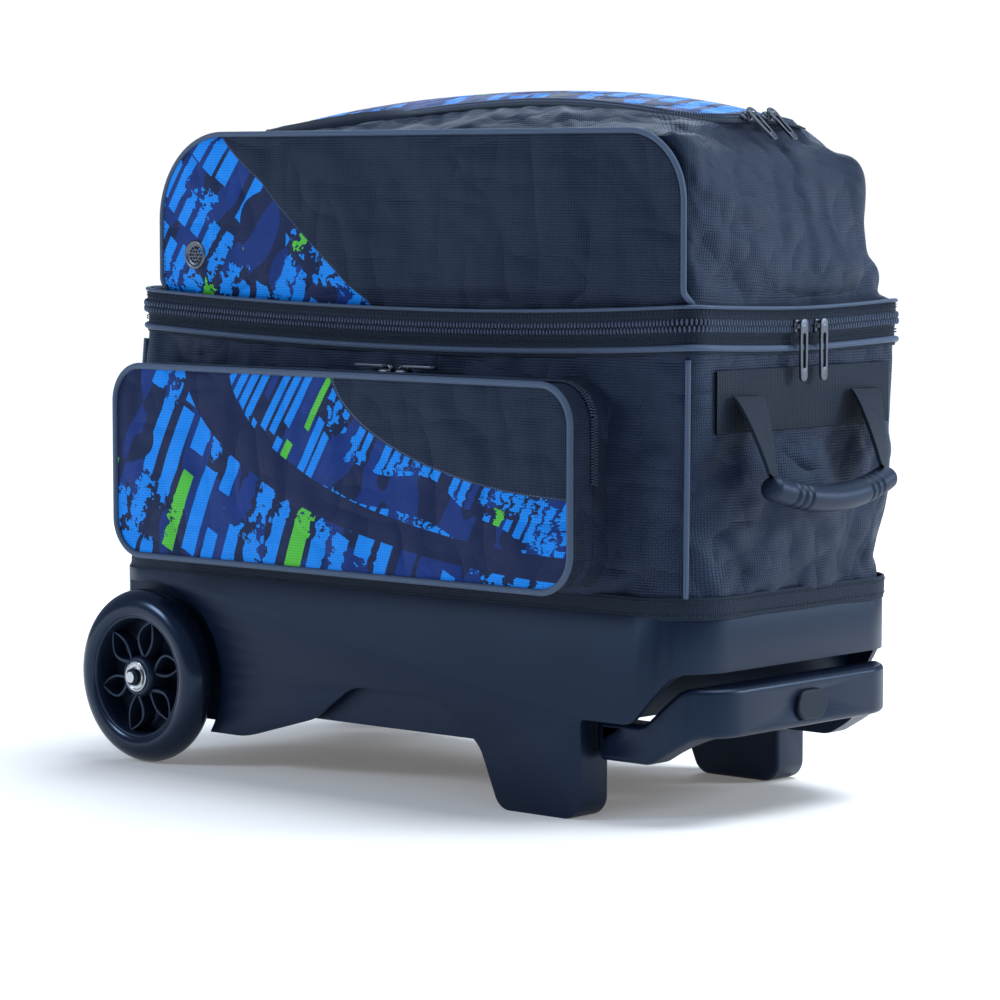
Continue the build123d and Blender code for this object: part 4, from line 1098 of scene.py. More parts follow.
def make_front_panel(sizes):
    """Front panel of the shoe compartment: a shallow crowned sheet inside its piping."""
    m = MATERIALS
    x0, x1, low = -216.0, 270.0, 332.0
    foot_corner, left_corner, right_corner = 4, 62, 46
    spread = np.linspace(0, 1, 140)
    spread = spread - 0.9 * np.sin(2 * pi * spread) / (2 * pi)
    x = (x0 + (x1 - x0) * spread)[None, :] * np.ones((36, 1))
    left = np.clip((x0 + left_corner - x) / left_corner, 0, 1)
    right = np.clip((x - x1 + right_corner) / right_corner, 0, 1)
    high = (PANEL_TOP_Z - left_corner * (1 - np.sqrt(1 - left ** 2))
            - right_corner * (1 - np.sqrt(1 - right ** 2)))
    z = low + (high - low) * np.linspace(0, 1, 36)[:, None]
    inner = np.minimum(np.minimum(x - x0, x1 - x), np.minimum(z - low, high - z))
    rise = 1 - np.exp(-np.clip(inner, 0, None) / 10)
    spot = np.stack([x, np.zeros_like(x), z], -1)
    crease = drape(spot, 0.55, (56, 120, 50), 71) * 4.6 + noise(spot, (80, 50, 60), 75) * 3.0
    crease *= 1 - np.exp(-((x + 178) ** 2 + (z - 371) ** 2) / 600)
    y = -120.2 - rise * (3.8 - crease) + tuck(x, z)
    points = np.stack([x, y, z], -1)
    panel = surface("front_panel", points, False, False, m["panel"], np.stack([x, z], -1), closed=False)
    thicken(panel, 1.0, 1.0)
    face_out(panel, (0, -1, 0))
    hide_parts("upper_front_panel")
    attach(panel, "lid")
    loop, _ = outline(x0, x1, low, PANEL_TOP_Z, (foot_corner, foot_corner, right_corner, left_corner),
                      (120, 40), 20)
    cord = tube("front_panel_piping", upright(loop, -121.4 + tuck(loop[:, 0], loop[:, 1])), 2.0, m["piping"],
                True, 12, 1.0, (0, 1, 0))
    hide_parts("upper_piping")
    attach(cord, "lid")
    inset = 3.4
    edge, edge_way = outline(x0 + inset, x1 - inset, low + inset, PANEL_TOP_Z - inset,
                             (foot_corner, foot_corner, right_corner - 3, left_corner - 3), (160, 60), 24)
    row = stitch_row("front_panel_stitches", upright(edge, -121.6 + tuck(edge[:, 0], edge[:, 1])),
                     upright(edge_way * 0, -1.0), 3.4, 2.3)
    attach(row, "lid")


def face_out(thing, way):
    """Faces of an open sheet are turned to look one way."""
    way = Vector(way)
    total = sum((f.normal * f.area for f in thing.data.polygons), Vector())
    if total.dot(way) < 0:
        thing.data.flip_normals()


def make_vent(sizes):
    """Vent: a rolled rim, a shallow dish and two circles of dark beads on it, painted shade where the holes
    would be.
    """
    m = MATERIALS
    centre = np.array([-178.0, -125.2, 371.0])
    profile = ((11.0, 1.6), (10.6, -0.6), (9.0, -1.2), (7.6, -0.2), (7.2, 0.5), (0.01, -0.2))
    points = np.array(spun(profile, centre, 1, 40))
    disc = surface("vent_disc", points, False, True, m["gunmetal"], closed=False)
    face_out(disc, (0, -1, 0))
    thicken(disc, 0.6)
    smooth_more(disc)
    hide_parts("vent_eyelet")
    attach(disc, "lid")
    # The holes are not cut: small beads in the black trim finish stand on the dish as painted shade in their
    # place.
    spots = [(2.6, 6), (5.2, 12)]
    spin = np.concatenate([np.arange(n) * 2 * pi / n for _, n in spots])
    reach = np.concatenate([np.full(n, r) for r, n in spots])
    origins = centre + np.stack([reach * np.cos(spin), np.full(len(spin), -0.1), reach * np.sin(spin)], 1)
    shape, faces = bead(1.7, 1.7, 1.0, 8, 4, 0.5)
    axes = [np.broadcast_to(v, origins.shape).astype(float) for v in ((1, 0, 0), (0, 0, 1), (0, -1, 0))]
    holes = scatter("vent_hole_painted_shade", shape, faces, origins, axes, m["trim"])
    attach(holes, "lid")


def make_top_flap(sizes):
    """Printed top flap, its zipper tapes and coil."""
    m = MATERIALS
    x0, x1, y0, y1, r = FLAP_EDGE
    loop, _ = outline(x0, x1, y0, y1, r, (130, 44), 16)
    x, y, share = fill_in(loop, FLAP_EDGE, 30)
    puff = np.sin(share * pi / 2) ** 0.6
    spot = np.stack([x, y, np.zeros_like(x)], -1)
    z = crown(x, y) - 0.6 + puff * (1.6 + noise(spot, (80, 60, 50), 81) * 1.0)
    points = np.stack([x, y, z], -1)
    flap = surface("top_flap_fabric", points, False, True, m["flap"], np.stack([x, y], -1), closed=False)
    face_out(flap, (0, 0, 1))
    thicken(flap, 2.2, -1.0, m["lining"])
    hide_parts("top_flap")
    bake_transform(flap)

    edge, edge_way = outline(x0 - 2, x1 + 2, y0 - 2, y1 + 2, r + 2, (240, 80), 30)
    order = open_order(edge_way, edge_way[:, 1] < 0.3)
    edge, edge_way = edge[order], edge_way[order]
    lean = np.stack([edge_way[:, 0] * 0.75, edge_way[:, 1] * 0.75, np.ones(len(edge))], 1)
    slope = unit(lean)
    path = level(edge, crown(edge[:, 0], edge[:, 1]) - 0.8)
    coil_pair(("top_coil_outer", "top_coil_inner"), ("lid", "flap"), path, slope, 1.5, 1.9, 3.6, 0.5, 2.0)
    for name, reaches, body in (("outer", (0.5, 9.0), "lid"), ("inner", (-3.2, -0.5), "flap")):
        strips = []
        for away in reaches:
            flat_edge = edge + edge_way * away
            ridge = soft_box(edge[:, 0], -150, -70, 70) * (edge_way[:, 1] < -0.5) * (away == 0.5) * 6.0
            strips.append(level(flat_edge, crown(edge[:, 0], edge[:, 1]) - 1.0 - 0.42 * away + ridge))
        tape = surface(f"top_tape_{name}", np.array(strips), False, False, m["tape"], closed=False)
        face_out(tape, (0, 0, 1))
        thicken(tape, 0.8, 0.0)
        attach(tape, body)


# ------------------------------------------------------------------ front pocket
POCKET = (-222.0, 210.0, 156.0, 292.0, 26.0)
POCKET_FACE = -162.0
POCKET_SPLIT = -140.0
FOLD_Z = 224.0


def pocket_loop(grow=0.0, sides=(130, 50), arc=16):
    """Outline of the pocket seen from the front, as X and Z."""
    x0, x1, z0, z1, r = POCKET
    return outline(x0 - grow, x1 + grow, z0 - grow, z1 + grow, r + grow, sides, arc)


def bend_pocket(thing):
    """Bakes a pocket piece's place into its mesh."""
    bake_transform(thing)


def pocket_side(name, depths, flares, size, seed, deep):
    """One strip of the pocket's gusset: upright rings with creases that fade at both seams."""
    _, way = pocket_loop()
    points = np.array([upright(pocket_loop(flare)[0], y) for y, flare in zip(depths, flares)])
    fade = np.sin(pi * np.linspace(0, 1, len(points)))[:, None]
    points = points - upright(way, 0.0)[None] * (fade * folds(points, size, seed) * deep)[..., None]
    side = surface(name, points, False, True, MATERIALS["fabric"], closed=False)
    turn_out(side)
    thicken(side, 1.6, -1.0, MATERIALS["lining"])
    return side


def make_pocket(sizes):
    """Rear gusset, front gusset with the printed face, piping and coil."""
    m = MATERIALS
    rear = np.linspace(-119.6, POCKET_SPLIT + 0.6, 12)
    flares = 3.0 * np.clip((rear + 126) / 6, 0, 1) ** 2
    gusset = pocket_side("pocket_gusset_rear", rear, flares, (40, 30, 30), 91, 2.0)
    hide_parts("pocket_gusset")
    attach(gusset, "chassis")
    front = np.linspace(POCKET_SPLIT - 0.6, POCKET_FACE + 1.5, 14)
    bend_pocket(pocket_side("pocket_gusset_front", front, front * 0, (36, 30, 30), 95, 1.8))

    loop, _ = pocket_loop()
    x, z, share = fill_in(loop, POCKET, 34)
    spot = np.stack([x, np.zeros_like(x), z], -1)
    rise = np.sin(share * pi / 2) ** 0.55
    crease = folds(spot, (70, 50, 40), 101) * 1.4 + noise(spot, (70, 50, 60), 105) * 1.3
    y = POCKET_FACE - 0.2 - rise * (5.0 - crease)
    face = surface("pocket_face", np.stack([x, y, z], -1), False, True, m["pocket"],
                   np.stack([x, z], -1), closed=False)
    face_out(face, (0, -1, 0))
    thicken(face, 1.4, -1.0, m["lining"])
    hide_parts("pocket_lower", "pocket_flap")
    bend_pocket(face)

    cord = tube("pocket_piping", upright(loop, POCKET_FACE - 1.2), 2.3, m["piping"], True, 12, 1.0, (0, 1, 0))
    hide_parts("pocket_piping_lower", "pocket_piping_upper")
    bend_pocket(cord)

    edge, edge_way = pocket_loop(0.6, (260, 100), 30)
    keep = edge[:, 1] > FOLD_Z + 2
    order = open_order(edge_way, keep)
    path = upright(edge, POCKET_SPLIT)[order]
    out = upright(edge_way, 0.0)[order]
    coil_pair(("pocket_coil_rear", "pocket_coil_front"), ("chassis", "pocket_cover"), path, out, -1.6,
              1.9, 3.8, 0.5, 2.2)


# ------------------------------------------------------------------ handles
PIVOT_Z, GRIP_Z = 283.0, 236.0
PIVOT_OUT, GRIP_OUT = 4.0, 19.0


def end_wall(end, z):
    """Where an end wall stands at a height: the right end (1) is upright, the left (-1) leans."""
    return RIGHT if end > 0 else bag_left(z)


def handle_band(name, end):
    """Webbing band sewn flat on the end wall, slightly rippled."""
    near, far, low, high = 0.4, 2.3, 260.0, 301.0
    y = np.linspace(-94, 94, 60)
    rings = []
    for out, z in ((near, low), (far, low), (far, high), (near, high)):
        ripple = 0.5 * noise(np.stack([y, y * 0, y * 0 + z], 1), 24, 7)
        rings.append(np.stack([end_wall(end, z) + end * (out + ripple), y, np.full_like(y, z)], 1))
    band = surface(f"handle_band_fabric_{name}", closed_rows(rings, 0.4, 8, 1), True, False,
                   MATERIALS["webbing"])
    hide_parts(f"handle_band_{name}")
    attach(band, "chassis")


def handle_strap(name, end, side):
    """Webbing tail that hangs from the band, twists and narrows into the grip."""
    t = np.linspace(0, 1, 24)
    x = end_wall(end, PIVOT_Z) + end * (PIVOT_OUT + GRIP_OUT * t ** 0.8)
    z = PIVOT_Z - (PIVOT_Z - GRIP_Z + 6) * t ** 1.1
    path = np.stack([x, side * (64.0 - 3.0 * t), z], 1)
    turn = 0.1 + 0.62 * t
    across = unit(np.stack([end * np.sin(turn) * -0.5, np.cos(turn), -np.sin(turn) * 0.45], 1))
    out = unit(np.cross(across, unit(np.gradient(path, axis=0))))
    half_width, half_thickness = (17.0 - 5.5 * t)[:, None], 1.3
    rings = [path + across * half_width * a + out * half_thickness * b
             for a, b in ((-1, -1), (1, -1), (1, 1), (-1, 1))]
    strap = surface(f"handle_webbing_{name}_{'front' if side < 0 else 'back'}",
                    closed_rows(rings, 0.6, 4, 2), True, False, MATERIALS["webbing"])
    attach(strap, f"handle_{name}")
    return strap


def handle_grip(name, end):
    """Rubber grip: a sagging sleeve with three grooves near each end."""
    t = np.linspace(-1, 1, 150)
    x = end_wall(end, PIVOT_Z) + end * (PIVOT_OUT + GRIP_OUT) + end * 3.0 * (1 - t ** 2)
    path = np.stack([x, 66.0 * t, GRIP_Z - 10.5 - 11.0 * (1 - t ** 2)], 1)
    tangent = unit(np.gradient(path, axis=0))
    side = unit(np.cross(tangent, (0, 0, 1.0)))
    body = 9.4 + 1.2 * np.cos(t * pi / 2) - 3.0 * np.clip((np.abs(t) - 0.93) / 0.07, 0, 1) ** 2
    for groove in (0.50, 0.60, 0.70):
        body = body - 1.4 * np.exp(-((np.abs(t) - groove) / 0.018) ** 2)
    rings = capped(path, sweep(path, side, np.cross(side, tangent), body, 40, 0.88))
    grip = surface(f"rubber_grip_{name}", rings, False, True, MATERIALS["rubber"])
    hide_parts(f"handle_grip_{name}")
    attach(grip, f"handle_{name}")


def make_handles(sizes):
    """End carry handles: stitched band, twisted webbing tails and grooved rubber grip."""
    for name, end in (("right", 1), ("left", -1)):
        handle_band(name, end)
        straps = [handle_strap(name, end, side) for side in (-1, 1)]
        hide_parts(f"handle_straps_{name}")
        handle_grip(name, end)


# ------------------------------------------------------------------ zipper sliders and pulls
def loop_plate(length, width, eye, thick, name, place, material):
    """Flat pull: an outer and an inner rounded outline joined round a slot, edges softened.

    place turns local (across, out, along) millimetres into design millimetres."""
    outer, _ = outline(-width / 2, width / 2, -length, 1.5, width * 0.46, (6, 16), 8)
    inner, _ = outline(-eye / 2, eye / 2, -length * 0.78, -length * 0.2, eye * 0.48, (6, 16), 8)
    taper = 1 - 0.22 * np.clip(-outer[:, 1] / length - 0.4, 0, 1)
    outer = outer * np.stack([taper, np.ones_like(taper)], 1)
    half = thick / 2
    rings = [upright(loop, d) for loop, d in ((outer, -half), (outer, half), (inner, half), (inner, -half))]
    return surface(name, place(closed_rows(rings, 0.45, 2, 2)), True, True, material)


def slider_block(name, place, material):
    """Slider: rounded body that narrows to its nose, with the bridge that carries the pull."""
    rings = []
    for out, grow in ((-1.2, 0.0), (2.2, 0.0), (3.4, -1.2)):
        loop, _ = outline(-5.5 - grow, 5.5 + grow, -4.6 - grow * 0.8, 4.6 + grow * 0.8, 2.2, (6, 6), 6)
        loop = loop * np.stack([1 + 0 * loop[:, 0], 1 - 0.22 * np.clip(loop[:, 0] / 6, 0, 1)], 1)
        rings.append(upright(loop, out))
    middle = [np.repeat([[0, out, 0]], len(rings[0]), 0) for out in (-1.2, 3.4)]
    grid = rounded_rows([middle[0]] + rings + [middle[1]], [0.3, 0.6, 0.6], 3, 3)
    body = surface(name, place(grid), False, True, material)
    t = np.linspace(0, pi, 14)
    arch = np.stack([4.6 * np.cos(t), 3.0 + 2.4 * np.sin(t), np.zeros(14)], 1)
    bridge = tube(name + "_bridge", place(arch), 1.0, material, False, 8, 1.5, (0.3, 0.5, 0.8))
    return body, bridge


def placer(origin, across, out, along, sink):
    """Function that turns local (across, out, along) millimetres into design millimetres."""
    def place(points):
        return origin + points[..., :1] * across + (points[..., 1:2] - sink) * out + points[..., 2:] * along

    return place


X_WAY, Y_WAY, Z_WAY = np.eye(3)


def make_sliders(sizes):
    """Every slider with its bridge and pull, in the place its CAD node holds."""
    metal = MATERIALS["gunmetal"]
    spans = {"main": (40.0, 8.0, 3.2), "top": (30.0, 7.6, 3.0), "pocket": (30.0, 7.6, 3.0)}
    for zipper, (length, width, eye) in spans.items():
        for mark, side in (("a", -1), ("b", 1)):
            centre = sum(node_box(f"{zipper}_slider_{mark}")) / 2
            pull_low, pull_high = node_box(f"{zipper}_pull_{mark}")
            pull_centre = (pull_low + pull_high) / 2
            wide = along = Y_WAY
            if zipper == "main":
                out, hang = X_WAY, Z_WAY
                start = np.array([pull_centre[0], centre[1], pull_high[2]])
            elif zipper == "top":
                tilt = atan2(pull_high[2] - pull_low[2], pull_high[0] - pull_low[0])
                hang = -np.array([cos(tilt), 0, -sin(tilt)])
                out = np.array([sin(tilt), 0, cos(tilt)])
                start = np.array([pull_low[0] + 1, centre[1], pull_high[2] - 1])
            else:
                out, along = Z_WAY, X_WAY
                hang = -side * X_WAY
                start = np.array([pull_low[0] if side > 0 else pull_high[0], centre[1], pull_centre[2]])
            seat = placer(centre, along, out, np.cross(along, out), 2.0)
            body, bridge = slider_block(f"{zipper}_slider_body_{mark}", seat, metal)
            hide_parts(f"{zipper}_slider_{mark}")
            for part in (body, bridge):
                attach(part, f"{zipper}_slider_{mark}_body")
            pull = loop_plate(length, width, eye, 1.8, f"{zipper}_pull_plate_{mark}",
                              placer(start, wide, out, hang, 0.5), metal)
            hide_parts(f"{zipper}_pull_{mark}")
            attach(pull, f"{zipper}_pull_{mark}_body")


# ------------------------------------------------------------------ wheels
def spun(profile, centre, side, segments):
    """Rings of a profile turned about the axle: the radius and the way outwards, in millimetres."""
    angle = np.linspace(0, 2 * pi, segments, endpoint=False)
    return [np.stack([centre[0] + r * np.cos(angle), np.full(segments, centre[1] + side * d),
                      centre[2] + r * np.sin(angle)], 1) for r, d in profile]


def leaf_outline(inner, outer, bulge, flat):
    """Pointed leaf from two arcs with different sagittas, as a loop in (radius, across)."""
    t = np.linspace(0, 1, 26)
    r = inner + (outer - inner) * t
    up = np.stack([r, bulge * np.sin(pi * t)], 1)
    down = np.stack([r[::-1], -flat * np.sin(pi * t)], 1)
    return np.concatenate([up, down[1:-1]])


def leaf_spoke(name, centre, side, turn, material):
    """Spoke that is a leaf with a leaf-shaped opening, turned about the axle."""
    outer = leaf_outline(11.5, 44.0, 11.0, 5.6)
    inner = leaf_outline(15.4, 41.2, 9.0, 3.6)
    rings = []
    for loop, d in ((outer, -5.0), (outer, 6.6), (inner, 6.6), (inner, -5.0)):
        x = centre[0] + loop[:, 0] * cos(turn) - loop[:, 1] * sin(turn)
        z = centre[2] + loop[:, 0] * sin(turn) + loop[:, 1] * cos(turn)
        rings.append(np.stack([x, np.full(len(x), centre[1] + side * d), z], 1))
    return surface(name, closed_rows(rings, 0.7, 3, 3), True, True, material)


WHEEL_X, WHEEL_Y, WHEEL_R = -224.0, 132.0, 63.5
TYRE_TUBE_R = 13.0
# Profiles as (radius, way out from the wheel's middle)
RIM = ((45.2, -10.8), (45.2, 10.8), (44.2, 11.6), (42.8, 10.8), (41.8, 7.0), (41.8, -7.0), (42.8, -10.8),
       (44.2, -11.6))
BOSS = ((11.0, -11.0), (15.0, -11.0), (15.0, 8.0), (13.6, 10.6), (11.0, 11.0))
WEB = ((13.0, -9.6), (43.0, -9.6), (43.0, -8.0), (13.0, -8.0))
RACE = ((4.2, 10.0), (4.2, 12.0), (6.4, 12.4), (7.0, 11.6), (9.2, 11.6), (9.8, 12.2), (10.9, 12.0),
        (10.9, 10.0))
CAP = ((0.01, 16.8), (4.6, 16.6), (6.2, 15.6), (6.8, 12.9), (0.01, 12.9))


def make_wheels(sizes):
    """Tyre, rim, boss and leaf spokes of each wheel, all profiles turned or carried by arrays."""
    m = MATERIALS
    tread = [(WHEEL_R - TYRE_TUBE_R + TYRE_TUBE_R * cos(a), TYRE_TUBE_R * sin(a))
             for a in np.linspace(-2.05, 2.05, 26)]
    for name, side in (("front", -1), ("back", 1)):
        centre = (WHEEL_X, side * WHEEL_Y, WHEEL_R)
        body = f"wheel_{name}_body"
        tyre, ring, core, plate, shield = [
            surface(f"{label}_{name}", closed_rows(spun(profile, centre, side, segments), *rounding),
                    True, True, m[finish])
            for label, profile, segments, rounding, finish in (
                ("tyre_ring", tread + [(44.8, 10.2), (44.8, -10.2)], 96, (0.5, 2, 1), "tyre"),
                ("hub_rim", RIM, 96, (0.8, 2, 2), "hub"), ("hub_boss", BOSS, 96, (0.7, 2, 2), "hub"),
                ("hub_web", WEB, 96, (0.4, 1, 1), "hub"), ("bearing_face", RACE, 64, (0.4, 2, 2), "steel"))]
        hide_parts(f"tyre_{name}")
        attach(tyre, body)
        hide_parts(f"hub_{name}")
        leaves = [leaf_spoke(f"hub_leaf_{name}_{k + 1}", centre, side, k * pi / 3 + 0.25, m["hub"])
                  for k in range(6)]
        for part in (ring, core, plate, *leaves):
            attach(part, body)
        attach(shield, body)
        nut = surface(f"axle_cap_{name}", rounded_rows(spun(CAP, centre, side, 48), [0.3, 0.6, 0.6], 2, 2),
                      False, True, m["trim"])
        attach(nut, "chassis")
        if side < 0:
            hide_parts("axle_nuts")


# ------------------------------------------------------------------ hard parts kept from the frame
def make_hard_parts(sizes):
    """Base and grip with softened edges, and finishes for the button and the other nodes that stay as they
    are.
    """
    m = MATERIALS
    base = weld_copy("tub_base", "base_shell", m["plastic"], sizes.base_edge)
    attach(base, "chassis")
    grip = weld_copy("tow_handle", "tow_grip", m["grip"], sizes.grip_edge)
    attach(grip, "tow_grip_stage")
    finishes = {
        "tow_button": "button", "wheel_axle": "steel", "axle_spacers": "trim", "bearing_front": "steel",
        "bearing_back": "steel", "outer_tubes": "tube", "mid_tubes": "tube", "inner_tubes": "tube",
        "outer_collars": "trim", "mid_collars": "trim", "floor_pad": "foam", "ball_cradle_left": "foam",
        "ball_cradle_right": "foam", "ball_divider": "foam", "divider_board": "board"}
    for node, finish in finishes.items():
        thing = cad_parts[node]
        thing.data.materials.clear()
        thing.data.materials.append(m[finish])


# ------------------------------------------------------------------ stage
COOL_LIGHT, SUN_LIGHT = (0.76, 0.87, 1.0), (0.86, 0.93, 1.0)
# Area lamps: name, azimuth in degrees, height, distance and size in metres, power in watts
LAMPS = (("side", 42.0, 0.9, 2.4, 0.6, 29.0), ("front", -124.0, 1.2, 2.6, 0.6, 24.0),
         ("back", 125.0, 1.6, 2.4, 1.6, 30.0))
SKY_TINT, SKY_STRENGTH = (0.60, 0.80, 1.15, 1), 0.33
SEEN_TINT, SEEN_STRENGTH = (1.0, 1.0, 1.0, 1), 1.02
AIM = (0, 0, 230)
CAMERA_PLACE = (1820.8, -2040.5, 424.5)
CAMERA_HEADING, CAMERA_DIP = radians(41.68), radians(4.77)
CAMERA_LENS = 137.97


def make_stage(colours):
    """Pale floor, soft lights and the camera."""
    scene = bpy.context.scene
    scene.view_settings.view_transform = "Standard"
    floor_mesh = bpy.data.meshes.new("floor")
    reach = 40.0
    corners = [(-reach, -reach, 0), (reach, -reach, 0), (reach, reach, 0), (-reach, reach, 0)]
    floor_mesh.from_pydata(corners, [], [(0, 1, 2, 3)])
    floor_mesh.materials.append(new_material("Pale floor", Base_Color=colours.floor, Roughness=0.9,
                                             Specular_IOR_Level=0.0, Emission_Color=(1, 0.93, 0.85, 1),
                                             Emission_Strength=0.14)[0])
    linked("floor", floor_mesh)
    world = bpy.data.worlds.new("Studio")
    world.use_nodes = True
    scene.world = world
    build = Nodes(world.node_tree)
    seen = build.make("ShaderNodeLightPath", {})
    build.finish(world.node_tree.nodes["Background"], Color=build.tint(seen, SKY_TINT, SEEN_TINT),
                 Strength=build.mix(seen, SKY_STRENGTH, SEEN_STRENGTH))

    sun = bpy.data.lights.new("overhead", "SUN")
    sun.angle = radians(38)
    sun.energy = 2.95
    sun.color = SUN_LIGHT
    linked("overhead", sun).rotation_euler = (radians(-14), radians(16), 0)
    aim = Vector(put(AIM))
    for name, azimuth, height, distance, size, power in LAMPS:
        light = bpy.data.lights.new(name, "AREA")
        light.size = size
        light.energy = power
        light.color = COOL_LIGHT
        lamp = linked(name, light)
        lamp.location = (distance * cos(radians(azimuth)), distance * sin(radians(azimuth)), height)
        lamp.rotation_euler = (aim - lamp.location).to_track_quat("-Z", "Y").to_euler()

    camera = bpy.data.cameras.new("camera")
    camera.lens = CAMERA_LENS
    camera.sensor_width = 36.0
    camera.clip_end = 50.0
    eye = linked("camera", camera)
    eye.location = put(CAMERA_PLACE)
    way = Vector((-sin(CAMERA_HEADING) * cos(CAMERA_DIP), cos(CAMERA_HEADING) * cos(CAMERA_DIP),
                  -sin(CAMERA_DIP)))
    eye.rotation_euler = way.to_track_quat("-Z", "Y").to_euler()
    scene.camera = eye


# ------------------------------------------------------------------ sizes, colours and operators
def length_property(label, text, value, low, high):
    """Length in millimetres that a user may change."""
    return bpy.props.FloatProperty(name=label, description=text, default=value, min=low, max=high)


def color_property(label, text, value):
    """Colour that a user may change."""
    return bpy.props.FloatVectorProperty(name=label, description=text, default=(*value, 1.0), size=4,
                                         subtype="COLOR", min=0.0, max=1.0)


class BagSizes(bpy.types.PropertyGroup):
    """Sizes in millimetres."""

    weave_pitch: length_property("Weave pitch", "Width of one crossing of the bag's nylon, mm", 1.9, 0.6, 4.0)
    base_edge: length_property("Base edge", "Rounding of the tub's edges, mm", 0.9, 0.2, 3.0)
    fold_depth: length_property("Fold depth", "Most that a point of the fabric may move, mm", 7.0, 0.0, 20.0)
    grip_edge: length_property("Grip edge", "Rounding of the tow grip's edges, mm", 0.9, 0.2, 3.0)


class BagColours(bpy.types.PropertyGroup):
    """Colours of the finishes."""

    fabric: color_property("Bag nylon", "Plain nylon", (0.0075, 0.0118, 0.0265))
    lining: color_property("Lining", "Inside of the bag", (0.008, 0.010, 0.016))
    piping: color_property("Piping", "Cord in the seams", (0.060, 0.083, 0.130))
    tape: color_property("Tape", "Zipper tape, binding and webbing", (0.009, 0.013, 0.022))
    webbing: color_property("Webbing", "Carry handle webbing", (0.0045, 0.0070, 0.0130))
    seam: color_property("Thread", "Sewing thread", (0.03, 0.04, 0.06))
    thread: color_property("Seam line", "Stitches beside the print", (0.08, 0.11, 0.18))
    coil: color_property("Coil", "Nylon zipper coil", (0.050, 0.063, 0.098))
    plastic: color_property("Base plastic", "Moulded tub and grip", (0.0025, 0.0065, 0.0190))
    button: color_property("Button", "Push button", (0.004, 0.005, 0.008))
    rubber: color_property("Rubber", "Carry handle grips", (0.0075, 0.0125, 0.0260))
    tyre: color_property("Tyre", "Urethane tyre", (0.0050, 0.0085, 0.0200))
    hub: color_property("Hub", "Wheel hub", (0.0080, 0.0130, 0.0270))
    gunmetal: color_property("Gunmetal", "Zipper pulls and vent", (0.13, 0.14, 0.165))
    steel: color_property("Steel", "Bearings and axle", (0.55, 0.57, 0.6))
    tube: color_property("Tube", "Tow tubes", (0.10, 0.11, 0.13))
    print_ground: color_property("Print ground", "Darkest colour of the print", (0.003, 0.007, 0.048))
    print_deep: color_property("Print deep", "Second dark colour of the print", (0.002, 0.026, 0.19))
    print_bright: color_property("Print bright", "Bars of the print", (0.001, 0.235, 0.80))
    print_accent: color_property("Print accent", "Rare bars of the print", (0.09, 0.52, 0.035))
    floor: color_property("Floor", "Studio floor", (0.93, 0.90, 0.86))


class BagOperator:
    """Shared part of the operators: the maker runs with the scene's own sizes."""

    bl_options = {"REGISTER", "UNDO"}
    make = None

    def execute(self, context):
        type(self).make(context.scene.bag_sizes)
        return {"FINISHED"}


class BAG_OT_finishes(bpy.types.Operator):
    """Makes every shared shader group and finish"""

    bl_idname = "bag.finishes"
    bl_label = "Finishes"

    def execute(self, context):
        make_materials(context.scene.bag_sizes, context.scene.bag_colours)
        return {"FINISHED"}


class BAG_OT_hard_parts(BagOperator, bpy.types.Operator):
    """Softens the tub and the tow grip and gives the hard parts their finishes"""

    bl_idname = "bag.hard_parts"
    bl_label = "Base and tow frame"
    make = make_hard_parts


class BAG_OT_wheels(BagOperator, bpy.types.Operator):
    """Makes the tyres, hubs, bearing faces and axle caps"""

    bl_idname = "bag.wheels"
    bl_label = "Wheels"
    make = make_wheels


class BAG_OT_lower_bag(BagOperator, bpy.types.Operator):
    """Makes the ball compartment with its binding and corner piping"""

    bl_idname = "bag.lower_bag"
    bl_label = "Ball compartment"
    make = make_lower_bag


class BAG_OT_main_zipper(BagOperator, bpy.types.Operator):
    """Makes the main zipper, its pipings and the hinge fabric"""

    bl_idname = "bag.main_zipper"
    bl_label = "Main zipper"
    make = make_main_zipper


class BAG_OT_upper_bag(BagOperator, bpy.types.Operator):
    """Makes the shoe compartment's body"""

    bl_idname = "bag.upper_bag"
    bl_label = "Shoe compartment"
    make = make_upper_bag


class BAG_OT_front_panel(BagOperator, bpy.types.Operator):
    """Makes the front panel, its piping and its seam"""

    bl_idname = "bag.front_panel"
    bl_label = "Front panel"
    make = make_front_panel


class BAG_OT_vent(BagOperator, bpy.types.Operator):
    """Makes the vent in the front panel"""

    bl_idname = "bag.vent"
    bl_label = "Vent"
    make = make_vent


class BAG_OT_top_flap(BagOperator, bpy.types.Operator):
    """Makes the top flap and its zipper"""

    bl_idname = "bag.top_flap"
    bl_label = "Top flap"
    make = make_top_flap


class BAG_OT_pocket(BagOperator, bpy.types.Operator):
    """Makes the front pocket with its zipper and piping"""

    bl_idname = "bag.pocket"
    bl_label = "Front pocket"
    make = make_pocket


class BAG_OT_handles(BagOperator, bpy.types.Operator):
    """Makes both end carry handles"""

    bl_idname = "bag.handles"
    bl_label = "Carry handles"
    make = make_handles


class BAG_OT_sliders(BagOperator, bpy.types.Operator):
    """Makes the six zipper sliders and their pulls"""

    bl_idname = "bag.sliders"
    bl_label = "Sliders and pulls"
    make = make_sliders


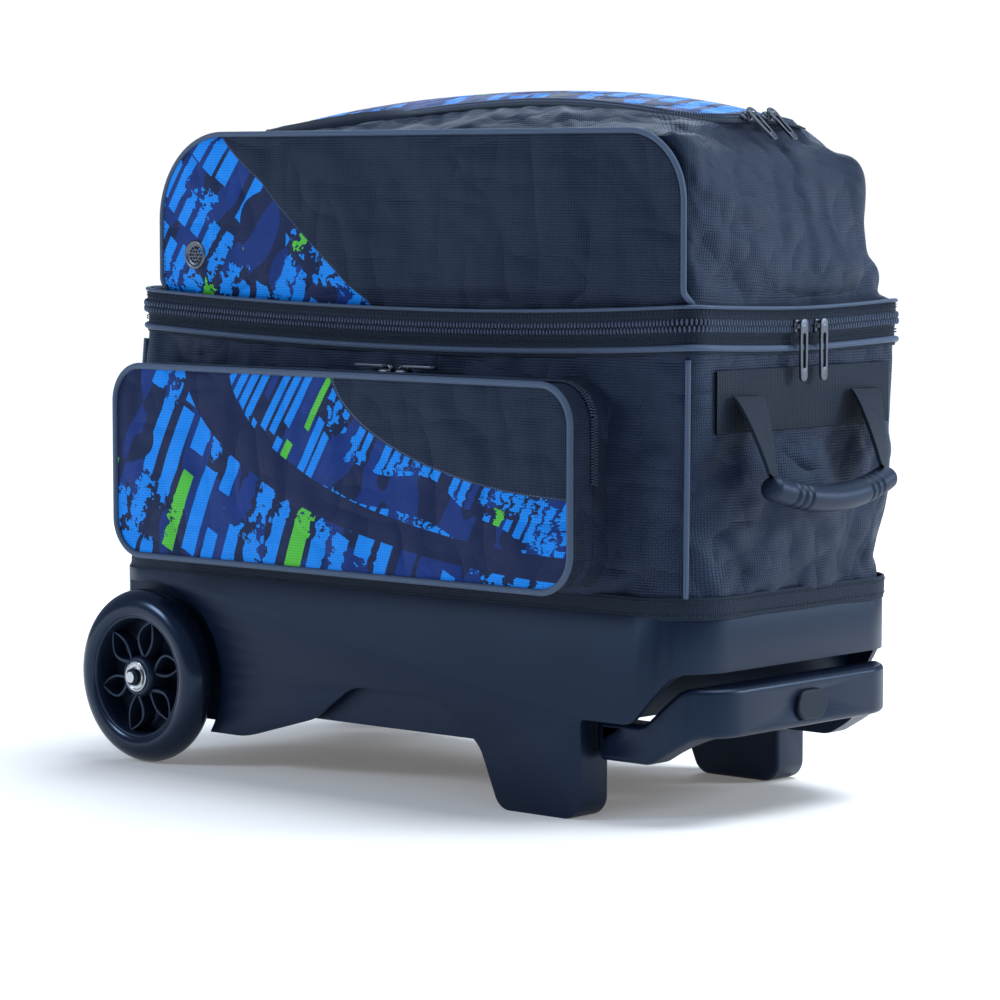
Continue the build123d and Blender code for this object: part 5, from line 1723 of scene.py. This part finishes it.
class BAG_OT_stage(bpy.types.Operator):
    """Makes the floor, lights and camera"""

    bl_idname = "bag.stage"
    bl_label = "Stage"

    def execute(self, context):
        make_stage(context.scene.bag_colours)
        return {"FINISHED"}


OPERATORS = (BAG_OT_finishes, BAG_OT_hard_parts, BAG_OT_wheels, BAG_OT_lower_bag, BAG_OT_main_zipper,
             BAG_OT_upper_bag, BAG_OT_front_panel, BAG_OT_vent, BAG_OT_top_flap, BAG_OT_pocket,
             BAG_OT_handles, BAG_OT_sliders, BAG_OT_stage)


class VIEW3D_PT_bag(bpy.types.Panel):
    """Sidebar panel with the sizes, the colours and one button for each operator"""

    bl_idname = "VIEW3D_PT_bag"
    bl_label = "Roller bag"
    bl_space_type = "VIEW_3D"
    bl_region_type = "UI"
    bl_category = "Roller bag"

    def draw(self, context):
        for group in (context.scene.bag_sizes, context.scene.bag_colours):
            column = self.layout.column(align=True)
            for key in group.__annotations__:
                column.prop(group, key)
        column = self.layout.column(align=True)
        for operator in OPERATORS:
            column.operator(operator.bl_idname)


CLASSES = (BagSizes, BagColours, *OPERATORS, VIEW3D_PT_bag)


def register():
    """Registers the classes and hangs the settings on the scene."""
    for entry in CLASSES:
        bpy.utils.register_class(entry)
    bpy.types.Scene.bag_sizes = bpy.props.PointerProperty(type=BagSizes)
    bpy.types.Scene.bag_colours = bpy.props.PointerProperty(type=BagColours)


def unregister():
    """Removes the settings and the classes."""
    del bpy.types.Scene.bag_colours
    del bpy.types.Scene.bag_sizes
    for entry in reversed(CLASSES):
        bpy.utils.unregister_class(entry)


def main():
    register()
    bpy.ops.bag.finishes()
    bpy.ops.bag.hard_parts()
    bpy.ops.bag.wheels()
    bpy.ops.bag.lower_bag()
    bpy.ops.bag.main_zipper()
    bpy.ops.bag.upper_bag()
    bpy.ops.bag.front_panel()
    bpy.ops.bag.vent()
    bpy.ops.bag.top_flap()
    bpy.ops.bag.pocket()
    bpy.ops.bag.handles()
    bpy.ops.bag.sliders()
    bpy.ops.bag.stage()


if __name__ == "__main__":
    main()
